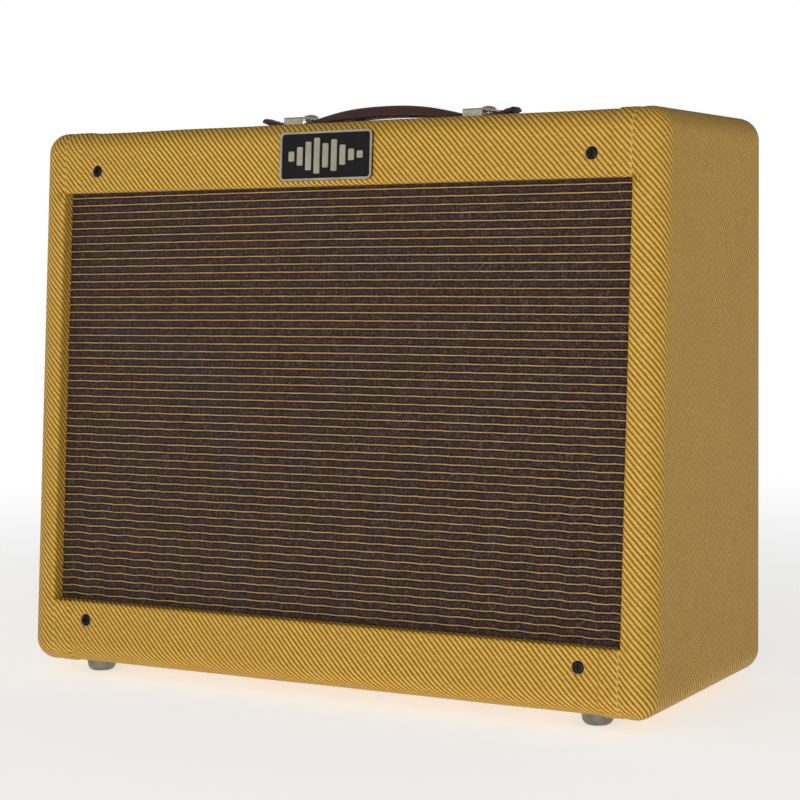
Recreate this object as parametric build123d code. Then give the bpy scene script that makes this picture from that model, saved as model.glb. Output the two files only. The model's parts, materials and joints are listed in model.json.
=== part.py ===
"""Guitar combo amplifier: a cloth-covered pine box with a leaning front, an open back, one twelve inch speaker
and a valve chassis hung under the top.

Millimetres. X points right as seen from the front, Y points to the back, Z points up. The origin is on the floor,
under the middle of the box."""

from build123d import *
import math
import os

# ---------------------------------------------------------------- driving dimensions
cabinet_width = 508.0
cabinet_height = 398.8
floor_gap = 7.6                 # floor to the lowest covering
depth_at_bottom = 217.9
depth_at_top = 187.6
edge_radius = 16.0

board = 20.5                    # thickness of the four case boards
lap_cloth = 1.6                 # two layers of covering and the glue between them
single_cloth = 0.7
lap_start = 217.0               # the side coverings fold over the top and bottom as far as this from the middle

opening_half_width = 231.2
opening_bottom = 55.0
opening_top = 360.3
rail_thickness = 8.6
grille_thickness = 0.8
baffle_thickness = 12.7
baffle_side_gap = 0.9
finger_count = 7

speaker_hole_radius = 141.0
speaker_bolt_circle = 148.5     # radius
panel_recess = 14.0             # the control panel lies this far below the top
sheet_metal = 1.6
chassis_half_length = 203.0
chassis_depth = 58.0
chassis_height = 62.0
panel_notch_half_width = 205.0
back_panel_thickness = 9.7
back_panel_inset = 4.6          # leaves room for the screw heads

handle_y = 7.3
bracket_x = 75.6
bracket_width = 15.6
strap_width = 19.0
strap_thickness = 3.6
tip_x = 106.0

# ---------------------------------------------------------------- derived places
lean_slope = (depth_at_bottom - depth_at_top) / cabinet_height
lean = math.atan(lean_slope)
case_bottom = floor_gap
case_top = floor_gap + cabinet_height
lowest_front_depth = depth_at_bottom - edge_radius * lean_slope - edge_radius / math.cos(lean) + edge_radius
back_y = lowest_front_depth / 2
half_width = cabinet_width / 2

wood_inset = lap_cloth
middle_inset = lap_cloth - single_cloth
board_inner_x = half_width - wood_inset - board
top_underside = case_top - wood_inset - board
bottom_upper_side = case_bottom + wood_inset + board
top_surface = case_top - middle_inset
bottom_surface = case_bottom + middle_inset
grille_inset = wood_inset + rail_thickness
baffle_inset = grille_inset + grille_thickness
baffle_back_inset = baffle_inset + baffle_thickness
baffle_half_width = board_inner_x - baffle_side_gap
opening_middle_z = (opening_bottom + opening_top) / 2

panel_z = case_top - panel_recess
chassis_floor_z = panel_z - chassis_height
chassis_rear_y = back_y - back_panel_inset - back_panel_thickness - 2.7
chassis_front_y = chassis_rear_y - chassis_depth
control_y = (chassis_front_y + chassis_rear_y) / 2
notch_front_y = chassis_front_y - 2.0
tube_y = control_y

screw_x = 201.8
screw_low_z = 41.5
screw_high_z = 376.7
foot_x = 205.5
foot_front_y = -81.7
foot_rear_y = back_y - 28.0
foot_places = [(x, y) for x in (-foot_x, foot_x) for y in (foot_front_y, foot_rear_y)]
bracket_screw_y = handle_y + 13.7
tab_screw_x = 216.0
tab_screw_ys = (chassis_front_y + 14, chassis_rear_y - 14)
badge_z = 381.4
badge_pin_x = 26.0
badge_pin_drop = 8.0            # the pins sit this far below the badge's middle

os.makedirs("parts", exist_ok=True)


# ---------------------------------------------------------------- helpers
def save(name, shape):
    """Write one node. A list becomes a group of separate solids."""
    if isinstance(shape, (list, tuple)):
        solids = [solid for item in shape for solid in item.solids()]
        shape = Compound(children=solids)
    export_step(shape, "parts/" + name + ".step")


def block(x0, x1, y0, y1, z0, z1):
    middle = Pos((x0 + x1) / 2, (y0 + y1) / 2, (z0 + z1) / 2)
    return middle * Box(x1 - x0, y1 - y0, z1 - z0)


def front_y(z, inset=0.0):
    """Y of the leaning front at a height, moved into the case by inset along its normal."""
    depth = depth_at_bottom - (z - case_bottom) * lean_slope
    return back_y - depth + inset / math.cos(lean)


def front_slab(x0, x1, z0, z1, inset0, inset1):
    """A board parallel to the leaning front, with level ends."""
    outline = Polyline(
        (front_y(z0, inset0), z0), (front_y(z0, inset1), z0),
        (front_y(z1, inset1), z1), (front_y(z1, inset0), z1),
        close=True,
    )
    face = Plane.YZ * make_face(outline)
    return Pos(x0, 0, 0) * extrude(face, x1 - x0)


def case_body(inset):
    """The whole rounded case as one solid, shrunk by inset on every side."""
    low = case_bottom + inset
    high = case_top - inset
    back = back_y - inset
    outline = Polyline(
        (front_y(low, inset), low), (back, low), (back, high), (front_y(high, inset), high), close=True)
    prism = extrude(Plane.YZ * make_face(outline), half_width - inset, both=True)
    return fillet(prism.edges(), edge_radius - inset)


def front_place(x, z, inset):
    """A place on the leaning front whose Z axis points out of the front and whose Y axis points up."""
    outwards = (0, -math.cos(lean), math.sin(lean))
    plane = Plane(origin=(x, front_y(z, inset), z), x_dir=(1, 0, 0), z_dir=outwards)
    return plane.location


def turned(points):
    """A solid of revolution about Z from its half outline, given as (radius, height) points."""
    face = Plane.XZ * make_face(Polyline(*points, close=True))
    return revolve(face, Axis.Z)


def tube(outer, inner, z0, z1):
    ring = Cylinder(outer, z1 - z0) - Cylinder(inner, z1 - z0)
    return Pos(0, 0, (z0 + z1) / 2) * ring


def rod(radius, z0, z1):
    return Pos(0, 0, (z0 + z1) / 2) * Cylinder(radius, z1 - z0)


def mirrored(shape):
    return mirror(shape, about=Plane.YZ)


# ---------------------------------------------------------------- case
wood = case_body(wood_inset)
lap_shell = case_body(0) - wood
middle_shell = case_body(middle_inset) - wood
notch = block(
    -panel_notch_half_width, panel_notch_half_width, notch_front_y, back_y + 5, panel_z - 30, case_top + 5)
front_opening = block(-opening_half_width, opening_half_width, -150, 0, opening_bottom, opening_top)
rear_opening = block(-board_inner_x, board_inner_x, 20, back_y + 5, bottom_upper_side, top_underside)
big = 600.0


def finger_blocks(low, high, sign):
    """Every second slice of a corner, which belongs to the top or bottom board."""
    first = front_y(case_top if high > case_top / 2 else case_bottom) - 20
    pitch = (back_y + 20 - first) / (2 * finger_count + 1)
    inner = sign * board_inner_x
    outer = sign * (half_width + 5)
    slices = []
    for i in range(finger_count):
        start = first + (2 * i + 1) * pitch
        slices.append(block(min(inner, outer), max(inner, outer), start, start + pitch, low, high))
    return slices


top_fingers = {sign: finger_blocks(top_underside, case_top + 5, sign) for sign in (-1, 1)}
bottom_fingers = {sign: finger_blocks(case_bottom - 5, bottom_upper_side, sign) for sign in (-1, 1)}


def side_board(sign):
    inner = sign * board_inner_x
    outer = sign * big / 2
    piece = wood & block(min(inner, outer), max(inner, outer), -big, big, -big, big)
    for cut in top_fingers[sign] + bottom_fingers[sign]:
        piece -= cut
    return piece


def top_board():
    piece = wood & block(-board_inner_x, board_inner_x, -big, big, top_underside, big)
    for sign in (-1, 1):
        for cut in top_fingers[sign]:
            piece += wood & cut
    piece -= notch
    for x in (-bracket_x, bracket_x):
        piece -= Pos(x, bracket_screw_y, 0) * rod(1.9, top_underside + 3, case_top + 5)
    for x in (-tab_screw_x, tab_screw_x):
        for y in tab_screw_ys:
            piece -= Pos(x, y, 0) * rod(1.9, top_underside - 1, top_underside + 14)
    return piece


def bottom_board():
    piece = wood & block(-board_inner_x, board_inner_x, -big, big, -big, bottom_upper_side)
    for sign in (-1, 1):
        for cut in bottom_fingers[sign]:
            piece += wood & cut
    for x, y in foot_places:
        piece -= Pos(x, y, 0) * rod(1.7, 0, 22)
    return piece


def rail(low, high):
    """One of the two narrow strips that close the front above and below the grille."""
    piece = front_slab(-board_inner_x, board_inner_x, low, high, wood_inset, grille_inset)
    z = screw_high_z if low > opening_middle_z else screw_low_z
    for x in (-screw_x, screw_x):
        piece -= front_place(x, z, 0) * rod(2.6, -grille_inset - 5, 5)
        piece -= front_place(x, z, 0) * rod(4.6, -middle_inset - 4.4, 5)
    if low > opening_middle_z:
        for x in (-badge_pin_x, badge_pin_x):
            piece -= front_place(x, badge_z, 0) * Pos(0, -badge_pin_drop, 0) * rod(1.3, -grille_inset, 5)
    return piece


def side_covering(sign):
    """Cloth on one side, round its front and rear edges, and folded over the top and bottom."""
    inner = sign * lap_start
    outer = sign * big / 2
    piece = lap_shell & block(min(inner, outer), max(inner, outer), -big, big, -big, big)
    piece -= front_opening
    piece -= rear_opening
    a = sign * opening_half_width
    b = sign * board_inner_x
    piece += front_slab(min(a, b), max(a, b), opening_bottom, opening_top, 0, grille_inset)
    return piece


def top_covering():
    piece = middle_shell & block(-lap_start, lap_start, -big, big, opening_top, big)
    piece -= rear_opening
    piece -= notch
    piece += front_slab(
        -lap_start, lap_start, opening_top, opening_top + single_cloth, middle_inset, grille_inset)
    for x in (-screw_x, screw_x):
        piece -= front_place(x, screw_high_z, 0) * rod(4.6, -10, 5)
    for x in (-bracket_x, bracket_x):
        piece -= Pos(x, bracket_screw_y, 0) * rod(1.9, top_underside, case_top + 5)
    for x in (-badge_pin_x, badge_pin_x):
        piece -= front_place(x, badge_z, 0) * Pos(0, -badge_pin_drop, 0) * rod(1.3, -10, 5)
    return piece


def bottom_covering():
    piece = middle_shell & block(-lap_start, lap_start, -big, big, -big, opening_bottom)
    piece -= rear_opening
    piece += front_slab(
        -lap_start, lap_start, opening_bottom - single_cloth, opening_bottom, middle_inset, grille_inset)
    for x in (-screw_x, screw_x):
        piece -= front_place(x, screw_low_z, 0) * rod(4.6, -10, 5)
    for x, y in foot_places:
        piece -= Pos(x, y, 0) * rod(1.7, 0, 22)
    return piece


save("side_board_left", side_board(-1))
save("side_board_right", side_board(1))
save("top_board", top_board())
save("bottom_board", bottom_board())
save("front_top_rail", rail(opening_top + single_cloth, top_underside))
save("front_bottom_rail", rail(bottom_upper_side, opening_bottom - single_cloth))
save("covering_left", side_covering(-1))
save("covering_right", side_covering(1))
save("covering_top", top_covering())
save("covering_bottom", bottom_covering())


# ---------------------------------------------------------------- baffle and grille
def pierced(piece):
    """The piece with clearance holes for the four long screws."""
    for x in (-screw_x, screw_x):
        for z in (screw_low_z, screw_high_z):
            piece -= front_place(x, z, 0) * rod(2.6, -60, 20)
    return piece


def speaker_place():
    """Origin on the baffle's rear face, Z pointing into the case and Y pointing down."""
    origin = (0, front_y(opening_middle_z, baffle_back_inset), opening_middle_z)
    plane = Plane(origin=origin, x_dir=(1, 0, 0), z_dir=(0, math.cos(lean), -math.sin(lean)))
    return plane.location


speaker = speaker_place()
bolt_angles = (45, 135, 225, 315)

baffle = front_slab(
    -baffle_half_width, baffle_half_width, bottom_upper_side + 1.2, top_underside - 1.2, baffle_inset,
    baffle_back_inset)
baffle = pierced(baffle)
baffle -= speaker * rod(speaker_hole_radius, -30, 10)
for angle in bolt_angles:
    spot = speaker * Rot(0, 0, angle) * Pos(speaker_bolt_circle, 0, 0)
    baffle -= spot * rod(2.6, -baffle_thickness - 2, 5)
    baffle -= spot * rod(5.6, -baffle_thickness - 2, -baffle_thickness + 3.2)
save("baffle_board", baffle)

grille = front_slab(
    -baffle_half_width, baffle_half_width, bottom_upper_side + 1.2, top_underside - 1.2, grille_inset,
    baffle_inset)
save("grille_cloth", pierced(grille))


def cross_slot(size, depth, z):
    return Pos(0, 0, z) * (Box(size, size / 4.5, depth) + Box(size / 4.5, size, depth))


def baffle_screw(x, z):
    """Round-head machine screw through rail, cloth and baffle, with its head sunk in the covering."""
    shank_end = -baffle_back_inset - 3
    head_seat = -middle_inset - 4.4
    screw = rod(2.5, shank_end, head_seat)
    head = rod(4.1, head_seat, -1.7)
    head = fillet(head.edges().sort_by(Axis.Z)[-1], 1.2)
    screw = screw + head - cross_slot(4.6, 2.4, -1.9)
    return front_place(x, z, 0) * screw


def tee_nut(x, z):
    nut = tube(8.0, 2.6, -baffle_back_inset - 1.4, -baffle_back_inset)
    return front_place(x, z, 0) * nut


screw_places = [(x, z) for x in (-screw_x, screw_x) for z in (screw_low_z, screw_high_z)]
save("baffle_screws", [baffle_screw(x, z) for x, z in screw_places])

# ---------------------------------------------------------------- back panels
upper_back_low = 295.0
lower_back_high = 125.0
panel_front_y = back_y - back_panel_inset - back_panel_thickness
panel_rear_y = back_y - back_panel_inset
panel_half_width = board_inner_x - 1.0
cleat = 15.0
cleat_x = board_inner_x - cleat / 2
back_screw_zs = {"upper": (312.0, 366.0), "lower": (47.0, 108.0)}


def back_panel(low, high, screw_zs):
    """Plywood panel; the upper one has a tongue that closes the notch behind the control panel."""
    piece = block(-panel_half_width, panel_half_width, panel_front_y, panel_rear_y, low, min(high, top_underside - 1))
    if high > top_underside:
        tongue_x = panel_notch_half_width - 1
        piece += block(-tongue_x, tongue_x, panel_front_y, panel_rear_y, low + 10, high)
    rear_edges = piece.faces().sort_by(Axis.Y)[-1].edges()
    piece = fillet(rear_edges, 2.5)
    for x in (-cleat_x, cleat_x):
        for z in screw_zs:
            piece -= Pos(x, panel_rear_y, z) * Rot(-90, 0, 0) * rod(2.2, -30, 10)
    return piece


def cleats(low, high, screw_zs):
    pieces = []
    for sign in (-1, 1):
        a = sign * (board_inner_x - cleat)
        b = sign * board_inner_x
        strip = block(min(a, b), max(a, b), panel_front_y - cleat, panel_front_y, low, high)
        for z in screw_zs:
            strip -= Pos(sign * cleat_x, panel_front_y, z) * Rot(-90, 0, 0) * rod(2.2, -12, 5)
        pieces.append(strip)
    return pieces


def back_screw(x, z):
    """Oval-head wood screw standing in a cup washer."""
    screw = rod(2.0, -18, 1.2) + turned([(0, 1.0), (2.0, 1.0), (4.0, 2.6), (3.2, 3.6), (1.8, 4.2), (0, 4.4)])
    screw -= cross_slot(4.2, 2.2, 4.1)
    return Pos(x, panel_rear_y, z) * Rot(-90, 0, 0) * screw


def cup_washer(x, z):
    washer = turned([(2.3, 0), (6.2, 0), (5.6, 1.2), (4.4, 2.2), (4.1, 2.2), (2.3, 0.8)])
    return Pos(x, panel_rear_y, z) * Rot(-90, 0, 0) * washer


back_screw_places = [(x, z) for x in (-cleat_x, cleat_x) for zs in back_screw_zs.values() for z in zs]
save("upper_back_panel", back_panel(upper_back_low, panel_z, back_screw_zs["upper"]))
save("lower_back_panel", back_panel(bottom_upper_side + 1, lower_back_high, back_screw_zs["lower"]))
save("back_panel_cleats", cleats(upper_back_low + 2, 380.0, back_screw_zs["upper"])
     + cleats(bottom_upper_side, lower_back_high - 2, back_screw_zs["lower"]))


# ---------------------------------------------------------------- feet
def glide():
    """Pressed metal glide with the nail that holds it."""
    cap = turned([(0, 0), (7.6, 0), (9.0, 0.9), (10.4, 3.0), (11.2, bottom_surface), (0, bottom_surface)])
    return cap + rod(1.5, bottom_surface - 1, bottom_surface + 11)


save("foot_glides", [Pos(x, y, 0) * glide() for x, y in foot_places])

# ---------------------------------------------------------------- badge
badge_width = 75.0
badge_height = 34.5
badge_base = 1.6
badge_relief = 0.9
bar_heights = (7.0, 13.0, 20.0, 25.0, 17.0, 22.0, 14.0, 8.0, 5.0)
bar_width = 4.6
bar_pitch = 7.0


def rounded_plate(width, height, radius, z0, z1):
    outline = RectangleRounded(width, height, radius)
    return Pos(0, 0, z0) * extrude(outline, z1 - z0)


def badge_plate():
    plate = rounded_plate(badge_width, badge_height, 3.5, 0, badge_base)
    for x in (-badge_pin_x, badge_pin_x):
        plate += Pos(x, -badge_pin_drop, 0) * rod(1.2, -7, 0.5)
    return front_place(0, badge_z, middle_inset) * plate


def badge_trim():
    """Raised border and a row of level bars, a plain motif without lettering."""
    top = badge_base + badge_relief
    border = rounded_plate(badge_width, badge_height, 3.5, badge_base, top)
    border -= rounded_plate(badge_width - 3.0, badge_height - 3.0, 2.2, badge_base - 1, top + 1)
    pieces = [border]
    first = -bar_pitch * (len(bar_heights) - 1) / 2
    for i, height in enumerate(bar_heights):
        bar = rounded_plate(bar_width, height, 0.8, badge_base, top)
        pieces.append(Pos(first + i * bar_pitch, 0, 0) * bar)
    place = front_place(0, badge_z, middle_inset)
    return [place * piece for piece in pieces]


save("badge_plate", badge_plate())
save("badge_trim", badge_trim())


# ---------------------------------------------------------------- handle
bracket_length = 32.0
bracket_height = 9.9
bracket_metal = 1.3
bracket_y0 = handle_y - 12.0
bracket_y1 = bracket_y0 + bracket_length
grip_end_x = bracket_x - bracket_width / 2 - 0.8
tail_start_x = bracket_x + 4.4
flat_tail_x = 90.0
arch_clearance = 6.9            # under the middle of the strap at rest
middle_thickness = 9.0
middle_width = 25.0
strap_lift = 2.2                # strap's lower face above the covering


def bracket():
    """Pressed cap over the strap, with a solid post behind it for the screw."""
    x0 = bracket_x - bracket_width / 2
    x1 = bracket_x + bracket_width / 2
    top = top_surface + bracket_height
    cap = block(x0, x1, bracket_y0, bracket_y1, top_surface, top)
    cap = fillet(cap.edges().filter_by(Axis.X).group_by(Axis.Z)[-1], 1.2)
    tunnel = block(x0 - 1, x1 + 1, bracket_y0 + bracket_metal, bracket_y1 - bracket_metal, top_surface - 1,
                   top - bracket_metal)
    post = Pos(bracket_x, bracket_screw_y, 0) * rod(3.2, top_surface, top - 0.5)
    piece = cap - tunnel + post
    return piece - Pos(bracket_x, bracket_screw_y, 0) * rod(1.9, case_top - 5, top + 5)


def bracket_screw():
    """Dome-head wood screw."""
    seat = top_surface + bracket_height
    head = turned([(0, seat), (6.0, seat), (5.8, seat + 1.1), (4.6, seat + 2.2), (2.4, seat + 3.0), (0, seat + 3.3)])
    screw = head + rod(1.8, top_underside + 4, seat + 0.5)
    screw -= cross_slot(4.4, 2.0, seat + 3.0)
    return Pos(bracket_x, bracket_screw_y, 0) * screw


def strap_arch():
    """The lifting middle of the strap, from one bracket to the other."""
    low = top_surface + strap_lift
    mid_low = top_surface + arch_clearance
    mid_high = mid_low + middle_thickness
    end_high = low + strap_thickness
    under = ThreePointArc((-grip_end_x, low), (0, mid_low), (grip_end_x, low))
    over = ThreePointArc((grip_end_x, end_high), (0, mid_high), (-grip_end_x, end_high))
    outline = under + Line((grip_end_x, low), (grip_end_x, end_high)) + over
    outline += Line((-grip_end_x, end_high), (-grip_end_x, low))
    arch = Pos(0, handle_y, 0) * extrude(Plane.XZ * make_face(outline), middle_width / 2, both=True)
    waist = (middle_width - strap_width) / 2
    for sign in (-1, 1):
        y = handle_y + sign * middle_width / 2
        corner = Polyline(
            (30.0, y), (grip_end_x + 5, y - sign * waist * 1.2), (grip_end_x + 5, y), close=True)
        wedge = Pos(0, 0, case_top - 5) * extrude(make_face(corner), 40)
        arch = arch - wedge - mirrored(wedge)
    return arch


def strap_tail():
    """One loose end of the strap: flat through the bracket, then curling up to its cut tip."""
    low = top_surface + strap_lift
    high = low + strap_thickness
    rise = 6.0
    under = Line((tail_start_x, low), (flat_tail_x, low)) + ThreePointArc(
        (flat_tail_x, low), ((flat_tail_x + tip_x) / 2, low + rise * 0.25), (tip_x, low + rise))
    over = ThreePointArc(
        (tip_x - 1.5, high + rise), ((flat_tail_x + tip_x) / 2 - 0.8, high + rise * 0.25), (flat_tail_x, high))
    over += Line((flat_tail_x, high), (tail_start_x, high))
    outline = under + Line((tip_x, low + rise), (tip_x - 1.5, high + rise)) + over
    outline += Line((tail_start_x, high), (tail_start_x, low))
    face = Plane.XZ * make_face(outline)
    return Pos(0, handle_y, 0) * extrude(face, strap_width / 2, both=True)


save("handle_strap", strap_arch())
save("handle_tail_right", strap_tail())
save("handle_tail_left", mirrored(strap_tail()))
save("handle_brackets", [bracket(), mirrored(bracket())])

# ---------------------------------------------------------------- chassis
tone_x = 40.0
volume_1_x = -8.0
volume_2_x = -56.0
knob_xs = {"tone": tone_x, "volume_1": volume_1_x, "volume_2": volume_2_x}
jack_xs = (-100.0, -126.0, -152.0, -178.0)
switch_x = 172.0
fuse_x = 132.0
lamp_x = 90.0
jack_bore = 3.25
rectifier_x = 84.0
power_tube_xs = (44.0, -4.0)
preamp_tube_xs = (-70.0, -108.0)
speaker_jack_x = -38.0
gland_x = 110.0
gland_y = chassis_rear_y - 15.0
power_transformer_x = 160.0
output_transformer_x = -158.0

pot_thread = 4.75               # radius
fuse_thread = 6.3
switch_thread = 6.0
lamp_thread = 7.0
jack_thread = 4.75
octal_hole = 14.0
noval_hole = 9.5


def chassis():
    """Folded steel channel, open to the back: control face on top, valve face below, an end plate and a tab
    at each end."""
    x = chassis_half_length
    piece = block(-x, x, chassis_front_y, chassis_rear_y, chassis_floor_z, panel_z)
    piece -= block(-x + sheet_metal, x - sheet_metal, chassis_front_y + sheet_metal, chassis_rear_y + 5,
                   chassis_floor_z + sheet_metal, panel_z - sheet_metal)
    for sign in (-1, 1):
        a = sign * (x - sheet_metal)
        b = sign * (x + 22)
        tab = block(min(a, b), max(a, b), chassis_front_y, chassis_rear_y, top_underside - sheet_metal, top_underside)
        for y in tab_screw_ys:
            tab -= Pos(sign * tab_screw_x, y, 0) * rod(2.2, top_underside - 5, top_underside + 5)
        piece += tab
    top_holes = [(knob_x, pot_thread) for knob_x in knob_xs.values()]
    top_holes += [(jack_x, jack_thread) for jack_x in jack_xs]
    top_holes += [(switch_x, switch_thread), (fuse_x, fuse_thread), (lamp_x, lamp_thread)]
    for hole_x, radius in top_holes:
        piece -= Pos(hole_x, control_y, 0) * rod(radius, panel_z - 5, panel_z + 5)
    floor_holes = [(rectifier_x, tube_y, octal_hole), (speaker_jack_x, tube_y, jack_thread), (gland_x, gland_y, 6.0)]
    floor_holes += [(x, tube_y, octal_hole) for x in power_tube_xs]
    floor_holes += [(x, tube_y, noval_hole) for x in preamp_tube_xs]
    for hole_x, y, radius in floor_holes:
        piece -= Pos(hole_x, y, 0) * rod(radius, chassis_floor_z - 5, chassis_floor_z + 5)
    return piece


def chassis_screw(x, y):
    seat = top_underside - sheet_metal
    screw = rod(1.8, seat - 0.5, seat + 14) + turned([(0, seat), (3.8, seat), (3.4, seat - 1.8), (0, seat - 2.8)])
    screw -= cross_slot(3.8, 1.6, seat - 2.6)
    return Pos(x, y, 0) * screw


save("chassis", chassis())
save("wood_screws", [back_screw(x, z) for x, z in back_screw_places]
     + [cup_washer(x, z) for x, z in back_screw_places]
     + [bracket_screw(), mirrored(bracket_screw())]
     + [chassis_screw(x, y) for x in (-tab_screw_x, tab_screw_x) for y in tab_screw_ys])


# ---------------------------------------------------------------- controls
shaft_radius = 3.0
shaft_clearance = 0.05
pot_body_depth = 11.0
knob_low = panel_z + 3.6
knob_high = panel_z + 19.0


def hex_nut(across_flats, bore, z0, z1):
    nut = Pos(0, 0, z0) * extrude(RegularPolygon(across_flats / 2, 6, major_radius=False), z1 - z0)
    return nut - rod(bore, z0 - 1, z1 + 1)


def potentiometer():
    """Carbon-track control with a threaded bush up through the panel and three solder lugs."""
    under = panel_z - sheet_metal
    body = rod(12.0, under - pot_body_depth, under)
    body = fillet(body.edges().group_by(Axis.Z)[0], 1.5)
    piece = body + rod(pot_thread - 0.1, under - 1, panel_z + 3.2)
    for i in (-1, 0, 1):
        piece += block(i * 5 - 1.2, i * 5 + 1.2, 9, 19, under - 3.4, under - 2.8)
    return piece - rod(shaft_radius + shaft_clearance, under - 8, panel_z + 10)


def knob():
    """Pointer knob: a round skirt and a long tapering bar that points at the number."""
    skirt = turned([
        (0, knob_low), (10.4, knob_low), (10.4, knob_low + 1.6), (9.0, knob_low + 3.6), (8.2, knob_high - 1.2),
        (7.4, knob_high), (0, knob_high)])
    bar = Polyline((-8.6, 3.0), (15.8, 0.8), (15.8, -0.8), (-8.6, -3.0), close=True)
    pointer = Pos(0, 0, knob_low + 2.0) * extrude(make_face(bar), knob_high - knob_low - 2.0)
    pointer = fillet(pointer.edges().group_by(Axis.Z)[-1], 0.7)
    grip_cut = block(-7, 20, 3.4, 15, knob_low + 5, knob_high + 2)
    body = skirt - grip_cut - mirror(grip_cut, about=Plane.XZ) + pointer
    body -= rod(shaft_radius, knob_low - 1, knob_high - 3)
    return body


def shaft():
    return rod(shaft_radius, panel_z - sheet_metal - 7, knob_high - 3)


def at_control(x, shape, turn=0):
    return Pos(x, control_y, 0) * Rot(0, 0, turn) * shape


knob_rest_turn = -60            # about Z, pointing to "1" at the low end of the travel
save("potentiometers", [at_control(x, potentiometer()) for x in knob_xs.values()])
save("panel_nuts", [at_control(x, hex_nut(12.7, pot_thread, panel_z, panel_z + 2.2)) for x in knob_xs.values()]
     + [at_control(x, hex_nut(12.7, jack_thread, panel_z, panel_z + 2.2)) for x in jack_xs]
     + [at_control(switch_x, hex_nut(15.0, switch_thread, panel_z, panel_z + 2.2))])
for name, x in knob_xs.items():
    save("knob_" + name, [at_control(x, knob(), knob_rest_turn), at_control(x, shaft())])


jack_bush = 2.6


def jack():
    """Open-frame quarter inch jack: bush, frame and tip spring. Zero is the outer face of the sheet."""
    under = -sheet_metal
    bush = rod(jack_thread - 0.1, under - 2, jack_bush)
    frame = block(-8, 8, -9, 9, under - 2, under)
    spring = block(-3, 3, 7.4, 8.2, under - 26, under - 1.5)
    spring += block(-3, 3, 4.4, 8.2, under - 26, under - 25.2)
    heel = block(-6, 6, -9, -8.2, under - 16, under - 1.5)
    piece = bush + frame + spring + heel
    return piece - rod(jack_bore, under - 20, jack_bush + 1)


speaker_jack_place = Pos(speaker_jack_x, tube_y, chassis_floor_z) * Rot(180, 0, 0)
save("jacks", [Pos(x, control_y, panel_z) * jack() for x in jack_xs] + [speaker_jack_place * jack()])


switch_pivot_z = panel_z - 1.0
switch_lean = 13.0


def switch_body():
    """Toggle switch: case below the panel and a threaded bush with a conical mouth."""
    under = panel_z - sheet_metal
    case = block(-7, 7, -14, 14, under - 20, under)
    case = fillet(case.edges().filter_by(Axis.Z), 2.0)
    piece = case + rod(switch_thread - 0.1, under - 1, panel_z + 6)
    for y in (-9, 0, 9):
        piece += block(-2.5, 2.5, y - 0.5, y + 0.5, under - 27, under - 19)
    piece -= turned([(0, switch_pivot_z - 2), (5.4, panel_z + 7), (0, panel_z + 7)])
    return piece - Pos(0, 0, switch_pivot_z) * Sphere(3.6)


def switch_lever():
    """Bat handle and its pivot ball, leaning towards off."""
    height = panel_z + 21 - switch_pivot_z
    bat = turned([(0, 0), (1.6, 0), (1.7, 6), (2.9, height - 3), (2.4, height - 0.8), (1.4, height), (0, height)])
    lever = bat + Sphere(3.3)
    return Pos(0, 0, switch_pivot_z) * Rot(-switch_lean, 0, 0) * lever


save("power_switch", at_control(switch_x, switch_body()))
save("switch_lever", at_control(switch_x, switch_lever()))

fuse_radius = 3.175
fuse_length = 31.8
fuse_floor = panel_z - 40.0


def fuse_holder():
    under = panel_z - sheet_metal
    piece = rod(fuse_thread - 0.1, fuse_floor - 2, panel_z + 3.0)
    piece += tube(8.6, fuse_thread - 0.2, panel_z, panel_z + 2.4)
    piece += tube(8.2, fuse_thread - 0.2, under - 4, under)
    piece += block(-2, 2, -0.5, 0.5, fuse_floor - 9, fuse_floor - 1)
    return piece - rod(4.4, fuse_floor, panel_z + 10)


def fuse_cap():
    """Twist-off cap with a finger bar and a socket that carries the fuse."""
    head = rod(6.6, panel_z + 3.2, panel_z + 8.5)
    head = fillet(head.edges().group_by(Axis.Z)[-1], 1.0)
    head -= block(-7, 7, 1.4, 8, panel_z + 6.2, panel_z + 10) + block(-7, 7, -8, -1.4, panel_z + 6.2, panel_z + 10)
    stem = tube(4.2, fuse_radius, panel_z - 7, panel_z + 3.2)
    return head + stem


def fuse():
    """Glass cartridge with an end cap at each end and the wire between them."""
    low = panel_z + 1.0 - fuse_length
    high = low + fuse_length
    caps = rod(fuse_radius, low, low + 6.4) + rod(fuse_radius, high - 6.4, high)
    glass = tube(2.8, 2.1, low + 6.4, high - 6.4)
    return caps + rod(0.3, low + 6, high - 6) + glass


save("fuse_holder", at_control(fuse_x, fuse_holder()))
save("fuse_cap", at_control(fuse_x, fuse_cap()))
save("fuse", at_control(fuse_x, fuse()))


def lamp_holder():
    under = panel_z - sheet_metal
    piece = tube(lamp_thread - 0.1, 5.2, under - 18, panel_z + 2.0)
    piece += tube(9.2, lamp_thread - 0.3, panel_z, panel_z + 2.0)
    piece += tube(9.0, lamp_thread - 0.3, under - 3, under)
    return piece + rod(5.4, under - 20, under - 18)


def lamp_bulb():
    under = panel_z - sheet_metal
    return turned([
        (0, under - 5), (2.6, under - 6), (4.2, under - 9), (3.4, under - 12), (3.4, under - 17.9),
        (0, under - 17.9)])


def jewel():
    """Faceted round lens in a bezel collar."""
    low = panel_z + 2.0
    facets = 12
    base = extrude(RegularPolygon(7.6, facets), 2.2, taper=8)
    crown = extrude(RegularPolygon(7.2, facets), 2.6, taper=48)
    lens = Pos(0, 0, low) * base + Pos(0, 0, low + 2.1) * crown
    return lens + rod(5.0, low - 3.2, low)


save("lamp_holder", [at_control(lamp_x, lamp_holder()), at_control(lamp_x, lamp_bulb())])
save("lamp_jewel", at_control(lamp_x, jewel()))

# ---------------------------------------------------------------- valves
octal_base_radius = 16.0
octal_base_length = 14.0
octal_glass_radius = 15.5
socket_drop = 7.0               # sockets hang this far under the chassis floor
socket_z = chassis_floor_z - socket_drop


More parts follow.
